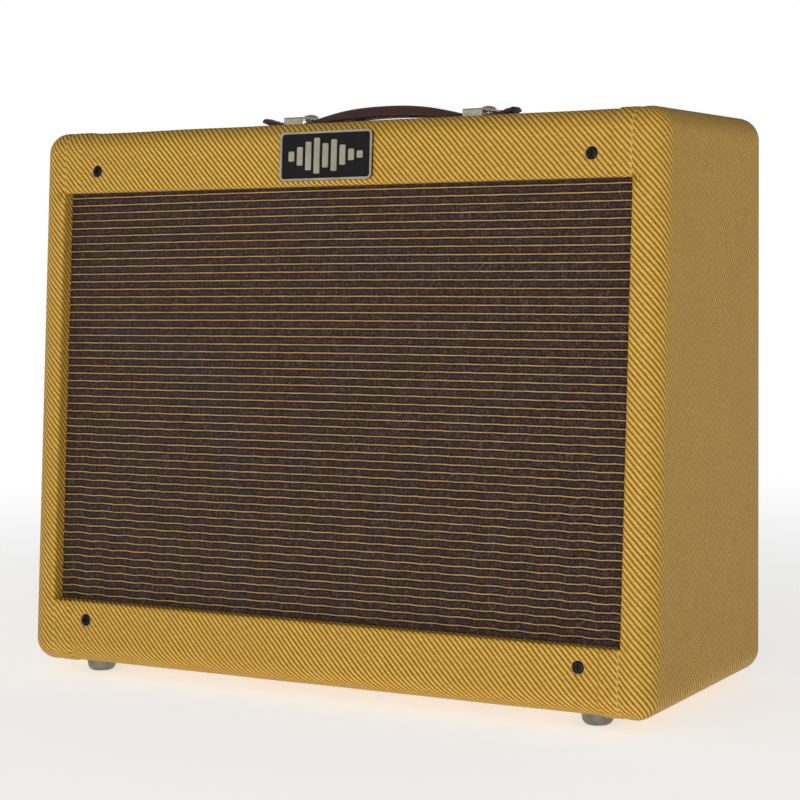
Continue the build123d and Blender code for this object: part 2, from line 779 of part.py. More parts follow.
def octal_socket():
    disc = rod(17.0, socket_z, chassis_floor_z) + rod(octal_hole - 0.3, chassis_floor_z - 1, chassis_floor_z + 4)
    for angle in range(0, 360, 45):
        lug = Rot(0, 0, angle) * block(9.4, 10.6, -1.2, 1.2, chassis_floor_z + 3, chassis_floor_z + 9)
        disc += lug
    return disc - rod(4.2, socket_z - 1, chassis_floor_z + 6)


def noval_socket():
    """Miniature socket with the skirt that a screening can would twist on to."""
    disc = rod(10.8, socket_z + 1, chassis_floor_z) + rod(noval_hole - 0.3, chassis_floor_z - 1, chassis_floor_z + 3)
    for i in range(9):
        lug = Rot(0, 0, i * 36) * block(5.5, 6.3, -1.0, 1.0, chassis_floor_z + 2, chassis_floor_z + 8)
        disc += lug
    skirt = tube(12.0, 11.2, socket_z - 4, chassis_floor_z) + tube(11.6, 10.6, chassis_floor_z - 1, chassis_floor_z)
    return disc + skirt


def octal_base():
    """Moulded base with its locating key in the socket."""
    low = socket_z - octal_base_length
    base = turned([
        (0, low), (octal_base_radius - 0.6, low), (octal_base_radius, low + 2), (octal_base_radius, socket_z - 3.5),
        (octal_base_radius - 1.4, socket_z), (4.0, socket_z), (4.0, socket_z + 6), (0, socket_z + 6)])
    return base


def bulb(radius, top, length, wall):
    """Hollow glass envelope, domed at its lower end and closed by its foot at the top."""
    outer = rod(radius, top - length, top)
    outer = fillet(outer.edges().group_by(Axis.Z)[0], radius * 0.7)
    inner = rod(radius - wall, top - length + wall, top - 2.5)
    inner = fillet(inner.edges().group_by(Axis.Z)[0], (radius - wall) * 0.7)
    return outer - inner


def at_tube(x, shape):
    return Pos(x, tube_y, 0) * shape


rectifier_glass_length = 58.0
power_glass_length = 60.0
preamp_glass_length = 46.0
preamp_radius = 10.4
octal_glass_top = socket_z - octal_base_length
preamp_glass_top = socket_z + 1.0


def octal_plates(length, width, depth):
    """Anode box, its two supports and the mica discs that hold them."""
    top = octal_glass_top - 2.5
    low = top - length
    box = block(-width / 2, width / 2, -depth / 2, depth / 2, low + 6, top - 8)
    box = fillet(box.edges().filter_by(Axis.Z), depth * 0.3)
    for z in (low + 5.2, top - 8):
        box += rod(12.5, z, z + 0.8)
    for x in (-width / 2 + 1, width / 2 - 1):
        box += Pos(x, 0, 0) * rod(0.7, low + 3, top)
    return box


def preamp_plates():
    top = preamp_glass_top - 2.5
    low = top - 32
    pair = block(-7.2, -0.8, -2.6, 2.6, low + 4, top - 6) + block(0.8, 7.2, -2.6, 2.6, low + 4, top - 6)
    for z in (low + 3.2, top - 6):
        pair += rod(8.4, z, z + 0.8)
    for x in (-6.0, 6.0):
        pair += Pos(x, 0, 0) * rod(0.5, low + 1, top)
    return pair


octal_xs = (rectifier_x,) + power_tube_xs
save("valve_sockets", [at_tube(x, octal_socket()) for x in octal_xs]
     + [at_tube(x, noval_socket()) for x in preamp_tube_xs])
save("valve_bases", [at_tube(x, octal_base()) for x in octal_xs])
save("valve_glass", [
    at_tube(rectifier_x, bulb(octal_glass_radius, octal_glass_top, rectifier_glass_length, 1.0))]
    + [at_tube(x, bulb(octal_glass_radius, octal_glass_top, power_glass_length, 1.0)) for x in power_tube_xs]
    + [at_tube(x, bulb(preamp_radius, preamp_glass_top, preamp_glass_length, 0.9)) for x in preamp_tube_xs])
save("valve_plates", [at_tube(rectifier_x, octal_plates(46, 19, 10))]
     + [at_tube(x, octal_plates(46, 17, 12)) for x in power_tube_xs]
     + [at_tube(x, preamp_plates()) for x in preamp_tube_xs])


# ---------------------------------------------------------------- transformers, inside wiring board
def transformer_core(width, depth, height, top):
    """Stack of laminations up against the chassis floor."""
    return block(-width / 2, width / 2, -depth / 2, depth / 2, top - height, top)


def end_bells(width, depth, height, top, bulge):
    """Two pressed covers over the coil, front and rear of the stack."""
    bells = []
    for sign in (-1, 1):
        a = sign * depth / 2
        b = sign * (depth / 2 + bulge)
        bell = block(-width / 2 + 4, width / 2 - 4, min(a, b), max(a, b), top - height + 4, top - 4)
        outer_face = bell.faces().sort_by(Axis.Y)[0 if sign < 0 else -1]
        bells.append(fillet(outer_face.edges(), min(8.0, bulge * 0.6)))
    return bells


power_iron = (72.0, 30.0, 60.0)
output_iron = (50.0, 20.0, 42.0)
power_bulge = 14.0
output_bulge = 11.0
transformer_top = chassis_floor_z
save("transformer_cores", [at_tube(power_transformer_x, transformer_core(*power_iron, transformer_top)),
                           at_tube(output_transformer_x, transformer_core(*output_iron, transformer_top))])
save("transformer_covers", [
    at_tube(power_transformer_x, bell) for bell in end_bells(*power_iron, transformer_top, power_bulge)]
    + [at_tube(output_transformer_x, bell) for bell in end_bells(*output_iron, transformer_top, output_bulge)])

eyelet_board_half = 120.0
eyelet_board_y = chassis_front_y + 9.0
eyelet_low = chassis_floor_z + 10.0
eyelet_high = panel_z - 16.0
eyelet_middle = (eyelet_low + eyelet_high) / 2


def lying(x0, x1, radius, y, z):
    """A round part lying along X."""
    return Pos((x0 + x1) / 2, y, z) * Rot(0, 90, 0) * Cylinder(radius, x1 - x0)


def upright(radius, x, y, z0, z1):
    return Pos(x, y, 0) * rod(radius, z0, z1)


eyelet_board = block(-eyelet_board_half, eyelet_board_half, eyelet_board_y, eyelet_board_y + 2.4, eyelet_low,
                     eyelet_high)
save("eyelet_board", eyelet_board)
part_y = eyelet_board_y + 2.4
coupling_capacitors = [upright(5.0, x, part_y + 5.0, eyelet_middle - 11, eyelet_middle + 11)
                       for x in (-100, -76, -52, -28, 0)]
resistors = [upright(2.4, x, part_y + 2.4, eyelet_middle - 8, eyelet_middle + 8)
             for x in (-112, -88, -64, -40, -15, 14, 20, 26)]
filter_capacitors = [lying(36, 76, 8.0, part_y + 8.0, z) for z in (eyelet_middle - 8.6, eyelet_middle + 8.6)]
filter_capacitors.append(lying(80, 116, 8.0, part_y + 8.0, eyelet_middle))
save("circuit_components", coupling_capacitors + resistors + filter_capacitors)


def cord_gland():
    """Strain relief for the mains cord: a flanged bush through the chassis floor."""
    bush = rod(8.0, chassis_floor_z - 9, chassis_floor_z) + rod(5.9, chassis_floor_z - 1, chassis_floor_z + 5)
    bush += rod(7.6, chassis_floor_z + sheet_metal, chassis_floor_z + 5)
    bush -= rod(3.9, chassis_floor_z - 10, chassis_floor_z + 6)
    return Pos(gland_x, gland_y, 0) * bush


save("cord_gland", cord_gland())

# ---------------------------------------------------------------- speaker
frame_radius = 154.5
gasket_thickness = 3.0
frame_metal = 1.5
basket_depth = 62.0
basket_floor_radius = 58.0
cone_outer = 127.0
cone_neck = 22.9
cone_paper = 0.9
cone_rim_w = 3.4
cone_neck_w = 46.0
coil_radius = 22.2
pole_radius = 21.4
plate_bore = 23.6
magnet_radius = 38.0
speaker_depth = 113.0
terminal_angle = 125            # about the speaker's axis


def speaker_gasket():
    ring = tube(frame_radius, 140.5, 0, gasket_thickness)
    for angle in bolt_angles:
        ring -= Rot(0, 0, angle) * Pos(speaker_bolt_circle, 0, 0) * rod(2.8, -1, gasket_thickness + 1)
    return speaker * ring


def basket():
    """Pressed steel frame: flat rim, conical wall with eight windows, and a floor for the magnet."""
    t = frame_metal
    rim_w = gasket_thickness
    floor_w = basket_depth
    wall = turned([
        (134.0, rim_w), (frame_radius, rim_w), (frame_radius, rim_w + t), (137.0, rim_w + t), (131.0, rim_w + 8),
        (basket_floor_radius + 3.4, floor_w + t), (25.0, floor_w + t), (25.0, floor_w),
        (basket_floor_radius + 2.4, floor_w), (129.2, rim_w + 8), (134.0, rim_w + t)])
    window = block(70.0, 124.0, -19.0, 19.0, 12.0, 80.0)
    corners = window.edges().filter_by(Axis.Z)
    window = fillet(corners, 7.0)
    for i in range(8):
        wall -= Rot(0, 0, 22.5 + 45 * i) * window
    for angle in bolt_angles:
        wall -= Rot(0, 0, angle) * Pos(speaker_bolt_circle, 0, 0) * rod(2.8, 0, 10)
    return speaker * wall


def magnet_assembly():
    """Front plate, pole and cup magnet with its rear cover."""
    w0 = basket_depth + frame_metal
    plate = tube(magnet_radius + 6, plate_bore, w0, w0 + 6)
    pole = rod(pole_radius, w0 + 0.5, w0 + 30)
    cup = turned([
        (magnet_radius, w0 + 6), (magnet_radius, speaker_depth - 8), (magnet_radius - 8, speaker_depth),
        (0, speaker_depth), (0, w0 + 30), (magnet_radius - 8, w0 + 30), (magnet_radius - 8, w0 + 6)])
    return speaker * (plate + cup + pole)


def cone():
    """Curved paper cone as a thin shell."""
    t = cone_paper
    bow = 9.0
    mid_r = (cone_outer + cone_neck) / 2 + bow * 0.4
    mid_w = (cone_rim_w + cone_neck_w) / 2 - bow
    front = ThreePointArc((cone_neck, cone_neck_w), (mid_r, mid_w + bow * 1.6), (cone_outer, cone_rim_w))
    rear = ThreePointArc((cone_outer, cone_rim_w + t), (mid_r, mid_w + bow * 1.6 + t), (cone_neck, cone_neck_w + t))
    outline = front + Line((cone_outer, cone_rim_w), (cone_outer, cone_rim_w + t)) + rear
    outline += Line((cone_neck, cone_neck_w + t), (cone_neck, cone_neck_w))
    shell = revolve(Plane.XZ * make_face(outline), Axis.Z)
    return speaker * shell


def surround():
    """Pleated paper edge between the cone and the frame's rim."""
    low = 0.7
    points_front = [(cone_outer + 0.2, 3.4), (128.6, 1.2), (130.4, 3.2), (132.2, 1.2), (134.2, 2.1), (139.6, 2.1)]
    points_rear = [(139.6, 2.1 + low), (134.0, 2.1 + low), (132.2, 2.0), (130.4, 4.2), (128.6, 2.1),
                   (cone_outer + 0.2, 4.2)]
    return speaker * turned(points_front + points_rear)


def spider():
    """Corrugated ring that centres the coil."""
    low = 0.6
    inner = 24.6
    w = 51.0
    pitch = 4.4
    front = [(inner, w)]
    for i in range(1, 7):
        front.append((inner + i * pitch, w + (1.6 if i % 2 else 0.0)))
    outer = (basket_floor_radius - 2.0, basket_depth - 1.2)
    front.append(outer)
    rear = [(r, z + low) for r, z in reversed(front)]
    return speaker * turned(front + rear)


def voice_coil():
    former = tube(coil_radius + 0.3, coil_radius, 45.0, 74.0)
    winding = tube(coil_radius + 0.8, coil_radius + 0.2, 64.0, 74.0)
    collar = tube(24.2, coil_radius + 0.2, 47.4, 51.4)
    return speaker * (former + winding + collar)


def dust_cap():
    """Shallow dome over the coil, cut from a hollow ball."""
    rim = 30.0
    height = 11.0
    rim_w = 41.0
    ball = (rim * rim + height * height) / (2 * height)
    middle_w = rim_w - height + ball
    shell = Pos(0, 0, middle_w) * (Sphere(ball) - Sphere(ball - 0.9))
    return speaker * (shell & block(-rim - 2, rim + 2, -rim - 2, rim + 2, rim_w - height - 1, rim_w))


def speaker_bolt(angle):
    head_w = -baffle_thickness + 0.2
    bolt = rod(2.5, head_w, gasket_thickness + frame_metal + 8) + rod(5.4, head_w, head_w + 2.8)
    return speaker * Rot(0, 0, angle) * Pos(speaker_bolt_circle, 0, 0) * bolt


def speaker_nut(angle):
    low = gasket_thickness + frame_metal
    nut = hex_nut(8.0, 2.5, low, low + 4.0)
    return speaker * Rot(0, 0, angle) * Pos(speaker_bolt_circle, 0, 0) * nut


def terminal_strip():
    """Insulated strip with two solder lugs, riveted to the frame's floor."""
    w0 = basket_depth + frame_metal
    strip = block(-12, 12, -3, 10, w0, w0 + 2)
    for x in (-7, 7):
        strip += block(x - 2, x + 2, 4, 14, w0 + 2, w0 + 2.6)
    return speaker * Rot(0, 0, terminal_angle) * Pos(0, 48.0, 0) * strip


save("speaker_gasket", speaker_gasket())
save("speaker_frame", basket())
save("speaker_magnet", magnet_assembly())
save("speaker_cone", cone())
save("speaker_surround", surround())
save("speaker_spider", spider())
save("voice_coil", voice_coil())
save("dust_cap", dust_cap())
save("speaker_bolts", [speaker_bolt(angle) for angle in bolt_angles])
save("baffle_nuts", [tee_nut(x, z) for x, z in screw_places] + [speaker_nut(angle) for angle in bolt_angles])
save("speaker_terminals", terminal_strip())


# ---------------------------------------------------------------- speaker lead
lead_radius = 2.3
plug_radius = 3.175
plug_body_radius = 7.0
plug_top = chassis_floor_z - jack_bush - 0.2
plug_low = plug_top - 40.0
relief_length = 9.0


def speaker_plug():
    """Straight quarter inch plug pushed up into its jack, with a tapered rubber end."""
    body = rod(plug_body_radius, plug_low, plug_top)
    body = fillet(body.edges().group_by(Axis.Z)[-1], 1.5)
    relief = turned([
        (0, plug_low), (5.2, plug_low), (3.6, plug_low - relief_length), (0, plug_low - relief_length)])
    pin = rod(plug_radius, plug_top - 1, plug_top + 22)
    return Pos(speaker_jack_x, tube_y, 0) * (body + relief + pin)


def speaker_lead():
    """Two-core lead from the plug to the lugs on the speaker, down and forward in one easy bend."""
    lug = speaker * Rot(0, 0, terminal_angle) * Pos(0, 57.0, basket_depth + frame_metal + 2.7)
    end = lug.position
    start = Vector(speaker_jack_x, tube_y, plug_low - relief_length)
    route = [
        start,
        Vector(speaker_jack_x, tube_y, start.Z - 21),
        Vector(speaker_jack_x - 3.0, tube_y - 13.0, start.Z - 37),
        Vector(end.X + 1.0, end.Y + 26.0, end.Z - 3.5),
        end,
    ]
    radii = []
    for before, corner, after in zip(route, route[1:], route[2:]):
        first = corner - before
        second = after - corner
        half_turn = math.radians(first.get_angle(second)) / 2
        radii.append(0.45 * min(first.length, second.length) / math.tan(half_turn))
    print("speaker lead radii", [round(r, 1) for r in radii])
    path = FilletPolyline(*route, radius=radii)
    print("speaker lead length", round(path.length, 1))
    section = Plane(origin=start, z_dir=route[1] - start) * Circle(lead_radius)
    lead = sweep(section, path=path)
    print("speaker lead volume over section times length", round(
        lead.volume / (math.pi * lead_radius ** 2 * path.length), 4))
    return lead


save("speaker_plug", speaker_plug())
save("speaker_lead", speaker_lead())
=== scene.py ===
import json
import math

import bmesh
import bpy
import numpy as np
from mathutils import Matrix, Vector


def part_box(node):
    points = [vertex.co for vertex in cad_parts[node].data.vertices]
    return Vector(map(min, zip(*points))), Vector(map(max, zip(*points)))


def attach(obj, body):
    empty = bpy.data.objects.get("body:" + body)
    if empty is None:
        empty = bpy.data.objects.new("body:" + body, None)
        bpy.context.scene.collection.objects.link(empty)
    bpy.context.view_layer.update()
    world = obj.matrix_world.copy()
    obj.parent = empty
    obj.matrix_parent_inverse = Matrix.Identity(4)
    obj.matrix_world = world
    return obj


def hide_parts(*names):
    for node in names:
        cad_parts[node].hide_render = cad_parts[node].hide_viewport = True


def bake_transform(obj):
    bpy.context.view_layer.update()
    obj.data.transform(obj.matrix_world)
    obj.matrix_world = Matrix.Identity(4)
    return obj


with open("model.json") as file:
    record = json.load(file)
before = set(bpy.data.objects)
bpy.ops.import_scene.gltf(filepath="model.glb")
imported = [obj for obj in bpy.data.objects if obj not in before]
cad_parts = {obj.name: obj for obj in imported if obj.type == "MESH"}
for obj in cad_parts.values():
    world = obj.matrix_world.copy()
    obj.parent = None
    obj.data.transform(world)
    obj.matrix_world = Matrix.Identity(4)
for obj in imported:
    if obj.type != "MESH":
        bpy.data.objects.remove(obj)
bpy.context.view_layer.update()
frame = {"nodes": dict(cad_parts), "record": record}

MM = 0.001

# ---- sizes that the frame doesn't state
DEPTH_AT_BOTTOM = 217.9 * MM
DEPTH_AT_TOP = 187.6 * MM
BOARD = 20.5 * MM
EDGE_RADIUS = 16.0 * MM
MIDDLE_INSET = 0.9 * MM          # the single cloth lies this far under the doubled one
SEAM_X = 231.0 * MM              # cut edge of the top and bottom cloths on the front
LAP_X = 217.0 * MM               # the doubled cloth begins here
OPENING_HALF = 231.2 * MM
OPENING_LOW = 55.0 * MM
OPENING_HIGH = 360.3 * MM
SCREW_X = 201.8 * MM
SCREW_LOW_Z = 41.5 * MM
SCREW_HIGH_Z = 376.7 * MM
STRIPE_PITCH = 3.17              # millimetres, across the stripes
STRIPE_TURN = math.radians(47)
THREAD_PITCH = 0.53              # millimetres, up the cloth
PINSTRIPE_PITCH = 5.74 * MM
CORD_PITCH = 0.96                # millimetres between the grille cloth's cords
PICK_PITCH = 1.15                # millimetres between the threads across them

# ---- places taken from the frame
right_low, right_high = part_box("covering_right")
half_width = right_high.x
back_y = right_high.y
case_bottom = right_low.z
case_top = right_high.z
slope = (DEPTH_AT_BOTTOM - DEPTH_AT_TOP) / (case_top - case_bottom)
lean = math.atan(slope)
rear_low_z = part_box("bottom_board")[0].z + BOARD
rear_high_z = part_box("top_board")[1].z - BOARD
panel_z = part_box("upper_back_panel")[1].z
chassis_low, chassis_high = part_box("chassis")
notch_front = chassis_low.y - 2.0 * MM      # the notch in the top board, a little larger than the chassis
notch_half = 205.0 * MM
control_y = (chassis_low.y + chassis_high.y) / 2

core_x = half_width - EDGE_RADIUS
core_low = case_bottom + EDGE_RADIUS
core_high = case_top - EDGE_RADIUS
core_back = back_y - EDGE_RADIUS


def front_y(z, inset=0.0):
    """Y of the leaning front at a height, moved in along its normal."""
    return back_y - DEPTH_AT_BOTTOM + (z - case_bottom) * slope + inset / math.cos(lean)


FRONT_NORMAL = np.array([-math.cos(lean), math.sin(lean)])     # (y, z)
FRONT_UP = np.array([math.sin(lean), math.cos(lean)])
grille_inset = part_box("grille_cloth")[0].y - front_y(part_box("grille_cloth")[0].z)
grille_inset *= math.cos(lean)


def smooth(value, low, high):
    t = np.clip((value - low) / (high - low), 0.0, 1.0)
    return t * t * (3.0 - 2.0 * t)


# ---- node helpers
def srgb(red, green, blue):
    """Linear colour of a screen colour given from 0 to 255."""
    def linear(channel):
        c = channel / 255
        return c / 12.92 if c <= 0.04045 else ((c + 0.055) / 1.055) ** 2.4
    return (linear(red), linear(green), linear(blue), 1.0)


class Nodes:
    """A node tree under construction, and the shader that its values end in."""

    def __init__(self, owner, surface):
        owner.use_nodes = True
        self.tree = owner.node_tree
        self.surface = self.tree.nodes[surface]

    def node(self, kind, inputs=None, **settings):
        made = self.tree.nodes.new("ShaderNode" + kind)
        for key, value in settings.items():
            setattr(made, key, value)
        for key, value in (inputs or {}).items():
            self.put(made.inputs[key], value)
        return made

    def put(self, socket, value):
        if isinstance(value, bpy.types.NodeSocket):
            self.tree.links.new(value, socket)
        else:
            socket.default_value = value

    def set(self, **values):
        """Inputs of the last shader; an underscore in the keyword stands for a space."""
        for key, value in values.items():
            self.put(self.surface.inputs[key.replace("_", " ")], value)

    def calc(self, operation, a, b=0.0, c=0.0):
        made = self.node("Math", operation=operation)
        for socket, value in zip(made.inputs, (a, b, c)):
            self.put(socket, value)
        return made.outputs[0]

    def times(self, a, b):
        return self.calc("MULTIPLY", a, b)

    def plus(self, a, b):
        return self.calc("ADD", a, b)

    def blend(self, factor, a, b, kind="MIX"):
        made = self.node("Mix", data_type="RGBA", blend_type=kind)
        self.put(made.inputs[0], factor)
        self.put(made.inputs[6], a)
        self.put(made.inputs[7], b)
        return made.outputs[2]

    def remap(self, value, a, b, c, d, kind="LINEAR"):
        made = self.node("MapRange", {0: value, 1: a, 2: b, 3: c, 4: d}, interpolation_type=kind)
        return made.outputs[0]

    def place(self, scale=(1.0, 1.0, 1.0)):
        where = self.node("TexCoord").outputs["Object"]
        return self.node("Mapping", {"Vector": where, "Scale": scale}).outputs[0]

    def noise(self, where, scale, detail=3.0, roughness=0.55):
        inputs = {"Vector": where, "Scale": scale, "Detail": detail, "Roughness": roughness}
        return self.node("TexNoise", inputs).outputs["Fac"]

    def bump(self, height, depth, strength=1.0):
        made = self.node("Bump", {"Height": height, "Distance": depth, "Strength": strength})
        self.put(self.surface.inputs["Normal"], made.outputs[0])


class Shader(Nodes):
    """A material with a Principled shader."""

    def __init__(self, name):
        self.material = bpy.data.materials.new(name)
        super().__init__(self.material, "Principled BSDF")

    def cloth_map(self, where=None, up=1):
        """Place on the cloth in millimetres: sideways, upwards, and both as a vector."""
        where = where or self.node("UVMap", uv_map="cloth").outputs[0]
        parts = self.node("SeparateXYZ", {0: where})
        across = self.times(parts.outputs[0], 1000.0)
        along = self.times(parts.outputs[up], 1000.0)
        if up == 2:
            across = self.plus(across, self.times(parts.outputs[1], 1000.0))
        return across, along, self.node("CombineXYZ", {0: across, 1: along}).outputs[0]

    def stretched(self, where, across, along):
        return self.node("Mapping", {"Vector": where, "Scale": (across, along, 1.0)}).outputs[0]


# ---- materials
def tweed(name, uv=True):
    """Lacquered diagonal twill: amber bands with brown lines between them, in stepped rows of thread. Each
    row is darkened towards its edges as painted shade, and the stripes are flattened as painted sheen where
    the stripe contrast is lowered.
    """
    s = Shader(name)
    if uv:
        across, along, flat = s.cloth_map()
    else:
        across, along, flat = s.cloth_map(s.node("TexCoord").outputs["Object"], up=2)
    rows = s.calc("DIVIDE", along, THREAD_PITCH)
    row = s.calc("FLOOR", rows)
    in_row = s.calc("SUBTRACT", s.calc("FRACT", rows), 0.5)
    stepped = s.times(s.plus(row, 0.5), THREAD_PITCH)
    wander = s.times(s.calc("SUBTRACT", s.noise(flat, 0.035, 2.0), 0.5), 1.1)
    shift = s.node("TexWhiteNoise", {"W": row}, noise_dimensions="1D").outputs[0]
    shift = s.times(s.calc("SUBTRACT", shift, 0.5), 0.16)
    fine = s.times(s.calc("SUBTRACT", s.noise(flat, 0.9, 2.0), 0.5), 0.55)
    cross = s.plus(s.times(across, math.sin(STRIPE_TURN)), s.times(stepped, math.cos(STRIPE_TURN)))
    cross = s.plus(s.plus(cross, wander), s.plus(shift, fine))
    cross = s.calc("DIVIDE", cross, STRIPE_PITCH)
    centred = s.calc("ABSOLUTE", s.calc("SUBTRACT", s.calc("FRACT", cross), 0.5))
    band = s.remap(centred, 0.20, 0.40, 1.0, 0.0, "SMOOTHSTEP")
    round_thread = s.calc("SUBTRACT", 1.0, s.times(s.times(in_row, in_row), 3.2))
    cell = s.node("CombineXYZ", {0: s.calc("FLOOR", cross), 1: row}).outputs[0]
    each = s.node("TexWhiteNoise", {"Vector": cell}, noise_dimensions="2D").outputs[0]
    light = s.blend(each, srgb(226, 183, 76), srgb(206, 163, 60))
    dark = s.blend(each, srgb(130, 90, 20), srgb(110, 73, 14))
    # painted sheen: the stripes are flattened where this stripe contrast is below 1, on the flat sides and on
    # the back panels
    painted_sheen_contrast = s.node("Attribute", attribute_name="painted_sheen_contrast").outputs["Fac"] if uv else 0.75
    level = s.plus(0.62, s.times(painted_sheen_contrast, s.calc("SUBTRACT", band, 0.62)))
    colour = s.blend(level, dark, light)
    # painted shade: each row of thread darkens towards its edges, where the rows meet
    shade = s.remap(round_thread, 0.2, 1.0, 0.80, 1.04)
    shades = s.node("CombineColor", {0: shade, 1: shade, 2: shade}).outputs[0]
    colour = s.blend(1.0, colour, shades, "MULTIPLY")
    patches = s.noise(flat, 0.012, 4.0, 0.6)
    aged = s.remap(patches, 0.35, 0.70, 0.0, 0.30)
    colour = s.blend(aged, colour, srgb(176, 128, 52))
    if uv:
        edge_paling = s.node("Attribute", attribute_name="edge").outputs["Fac"]
        colour = s.blend(s.times(edge_paling, 0.45), colour, srgb(216, 182, 106))
    s.set(Base_Color=colour)
    s.set(Roughness=s.remap(band, 0.0, 1.0, 0.68, 0.54), Specular_IOR_Level=0.28)
    s.set(Coat_Weight=0.05, Coat_Roughness=0.40)
    height = s.plus(s.times(band, 0.6), s.times(round_thread, 0.4))
    s.bump(height, 0.00028, 0.8)
    return s.material


def grille_weave():
    """Dark oxblood cloth: purple between the gold yarns, brown beside them, in fine beaded cords, with
    painted shade in the grooves between the cords and between the beads.
    """
    s = Shader("grille_cloth_weave")
    across, along, flat = s.cloth_map()
    stripe = s.calc("FRACT", s.calc("DIVIDE", along, PINSTRIPE_PITCH * 1000))
    near_gold = s.calc("ABSOLUTE", s.calc("SUBTRACT", stripe, 0.5))
    cords = s.calc("DIVIDE", along, CORD_PITCH)
    cord = s.calc("FLOOR", cords)
    rounding = s.calc("SINE", s.times(cords, math.tau))
    tone = s.noise(s.stretched(flat, 0.09, 1.05), 1.0, 3.0, 0.6)
    warp = s.noise(s.stretched(flat, 0.62, 0.05), 1.0, 2.0, 0.7)
    purple = s.blend(s.remap(tone, 0.35, 0.65, 0.0, 1.0), srgb(74, 48, 54), srgb(58, 40, 32))
    brown = s.blend(s.remap(tone, 0.35, 0.65, 0.0, 1.0), srgb(9, 4, 3), srgb(26, 14, 6))
    colour = s.blend(s.remap(near_gold, 0.19, 0.29, 0.0, 1.0, "SMOOTHSTEP"), purple, brown)
    # painted shade in the grooves between the cords
    colour = s.blend(s.remap(rounding, -1.0, 1.0, 0.42, 0.0), colour, srgb(20, 10, 10))
    colour = s.blend(s.remap(warp, 0.52, 0.74, 0.0, 0.45), colour, srgb(112, 88, 78))
    picks = s.plus(s.calc("DIVIDE", across, PICK_PITCH), s.times(cord, 0.5))
    beads = s.calc("SINE", s.times(picks, math.tau))
    # painted shade between the beads along each cord
    colour = s.blend(s.remap(beads, -1.0, 1.0, 0.40, 0.0), colour, srgb(14, 7, 8))
    cell = s.node("CombineXYZ", {0: s.calc("FLOOR", picks), 1: cord}).outputs[0]
    each = s.node("TexWhiteNoise", {"Vector": cell}, noise_dimensions="2D").outputs[0]
    colour = s.blend(s.remap(each, 0.70, 1.0, 0.0, 0.38), colour, srgb(120, 94, 84))
    colour = s.blend(s.remap(each, 0.0, 0.35, 0.55, 0.0), colour, srgb(20, 11, 10))
    s.set(Base_Color=colour, Roughness=0.78, Specular_IOR_Level=0.25)
    s.set(Sheen_Weight=0.05, Sheen_Roughness=0.5)
    s.bump(s.plus(rounding, s.times(beads, 0.5)), 0.00022, 0.7)
    return s.material


def gold_thread():
    """Metallised gold yarn that dark threads cross at short distances."""
    s = Shader("grille_gold_thread")
    across, along, flat = s.cloth_map()
    ties = s.calc("SINE", s.times(across, math.tau / PICK_PITCH))
    patch = s.noise(s.stretched(flat, 0.06, 0.17), 1.0, 2.0, 0.6)
    colour = s.blend(s.remap(patch, 0.35, 0.65, 0.0, 1.0), srgb(204, 166, 88), srgb(172, 138, 74))
    spots = s.noise(flat, 1.3, 2.0)
    dark = s.plus(s.remap(ties, 0.3, 1.0, 0.0, 0.62), s.remap(spots, 0.56, 0.72, 0.0, 0.4))
    colour = s.blend(dark, colour, srgb(70, 48, 34))
    s.set(Base_Color=colour, Roughness=0.5, Specular_IOR_Level=0.45, Metallic=0.15)
    s.bump(ties, 0.0002, 0.5)
    return s.material


def leather():
    """Dark red-brown strap leather with a fine grain, paler along its edges and ridges, partly from rubbed
    wear and partly as painted highlight.
    """
    s = Shader("strap_leather")
    where = s.place()
    grain = s.node("TexVoronoi", {"Vector": where, "Scale": 1500.0}, feature="DISTANCE_TO_EDGE").outputs[0]
    creases = s.noise(where, 420.0, 4.0, 0.6)
    clouds = s.noise(where, 45.0, 3.0)
    colour = s.blend(s.remap(clouds, 0.35, 0.65, 0.0, 1.0), srgb(58, 27, 30), srgb(74, 35, 36))
    colour = s.blend(s.remap(creases, 0.50, 0.72, 0.0, 0.5), colour, srgb(34, 15, 19))
    # the strap's edge values pale its rims, welt tops and upper slopes: rubbed wear and painted highlight
    edge_paling = s.node("Attribute", attribute_name="edge").outputs["Fac"]
    rubbed_and_highlight = s.times(edge_paling, s.remap(creases, 0.3, 0.6, 0.9, 0.35))
    colour = s.blend(rubbed_and_highlight, colour, srgb(112, 78, 72))
    s.set(Base_Color=colour, Roughness=s.remap(creases, 0.3, 0.7, 0.36, 0.55), Specular_IOR_Level=0.5)
    s.bump(s.plus(s.remap(grain, 0.0, 0.12, 0.0, 1.0), creases), 0.00012, 0.6)
    return s.material


def darker(colour, share):
    return tuple(c * share for c in colour[:3]) + (1.0,)


def plain(name, colour, second, roughness=(0.4, 0.6), metallic=0.0, scale=60.0, bump=0.00004,
          stretch=(1, 1, 1), specks=0.0, fine=900.0, coat=0.0, **more):
    """Plastics, paints and metals: two tones in broad clouds, fine grain, specks and an uneven gloss."""
    s = Shader(name)
    colour, second = srgb(*colour), srgb(*second)
    where = s.place(stretch)
    clouds = s.noise(where, scale, 4.0, 0.6)
    grain = s.noise(where, fine, 3.0, 0.6)
    tone = s.blend(s.remap(clouds, 0.32, 0.68, 0.0, 1.0), colour, second)
    if specks:
        spots = s.remap(s.noise(where, fine * 0.4, 2.0), 0.62, 0.72, 0.0, specks)
        tone = s.blend(spots, tone, darker(second, 0.45))
    mixed = s.plus(s.times(clouds, 0.5), s.times(grain, 0.5))
    s.set(Base_Color=tone, Roughness=s.remap(mixed, 0.3, 0.7, *roughness), Metallic=metallic)
    s.set(Coat_Weight=coat, Coat_Roughness=0.15)
    s.set(**more)
    s.bump(grain, bump, 0.6)
    return s.material


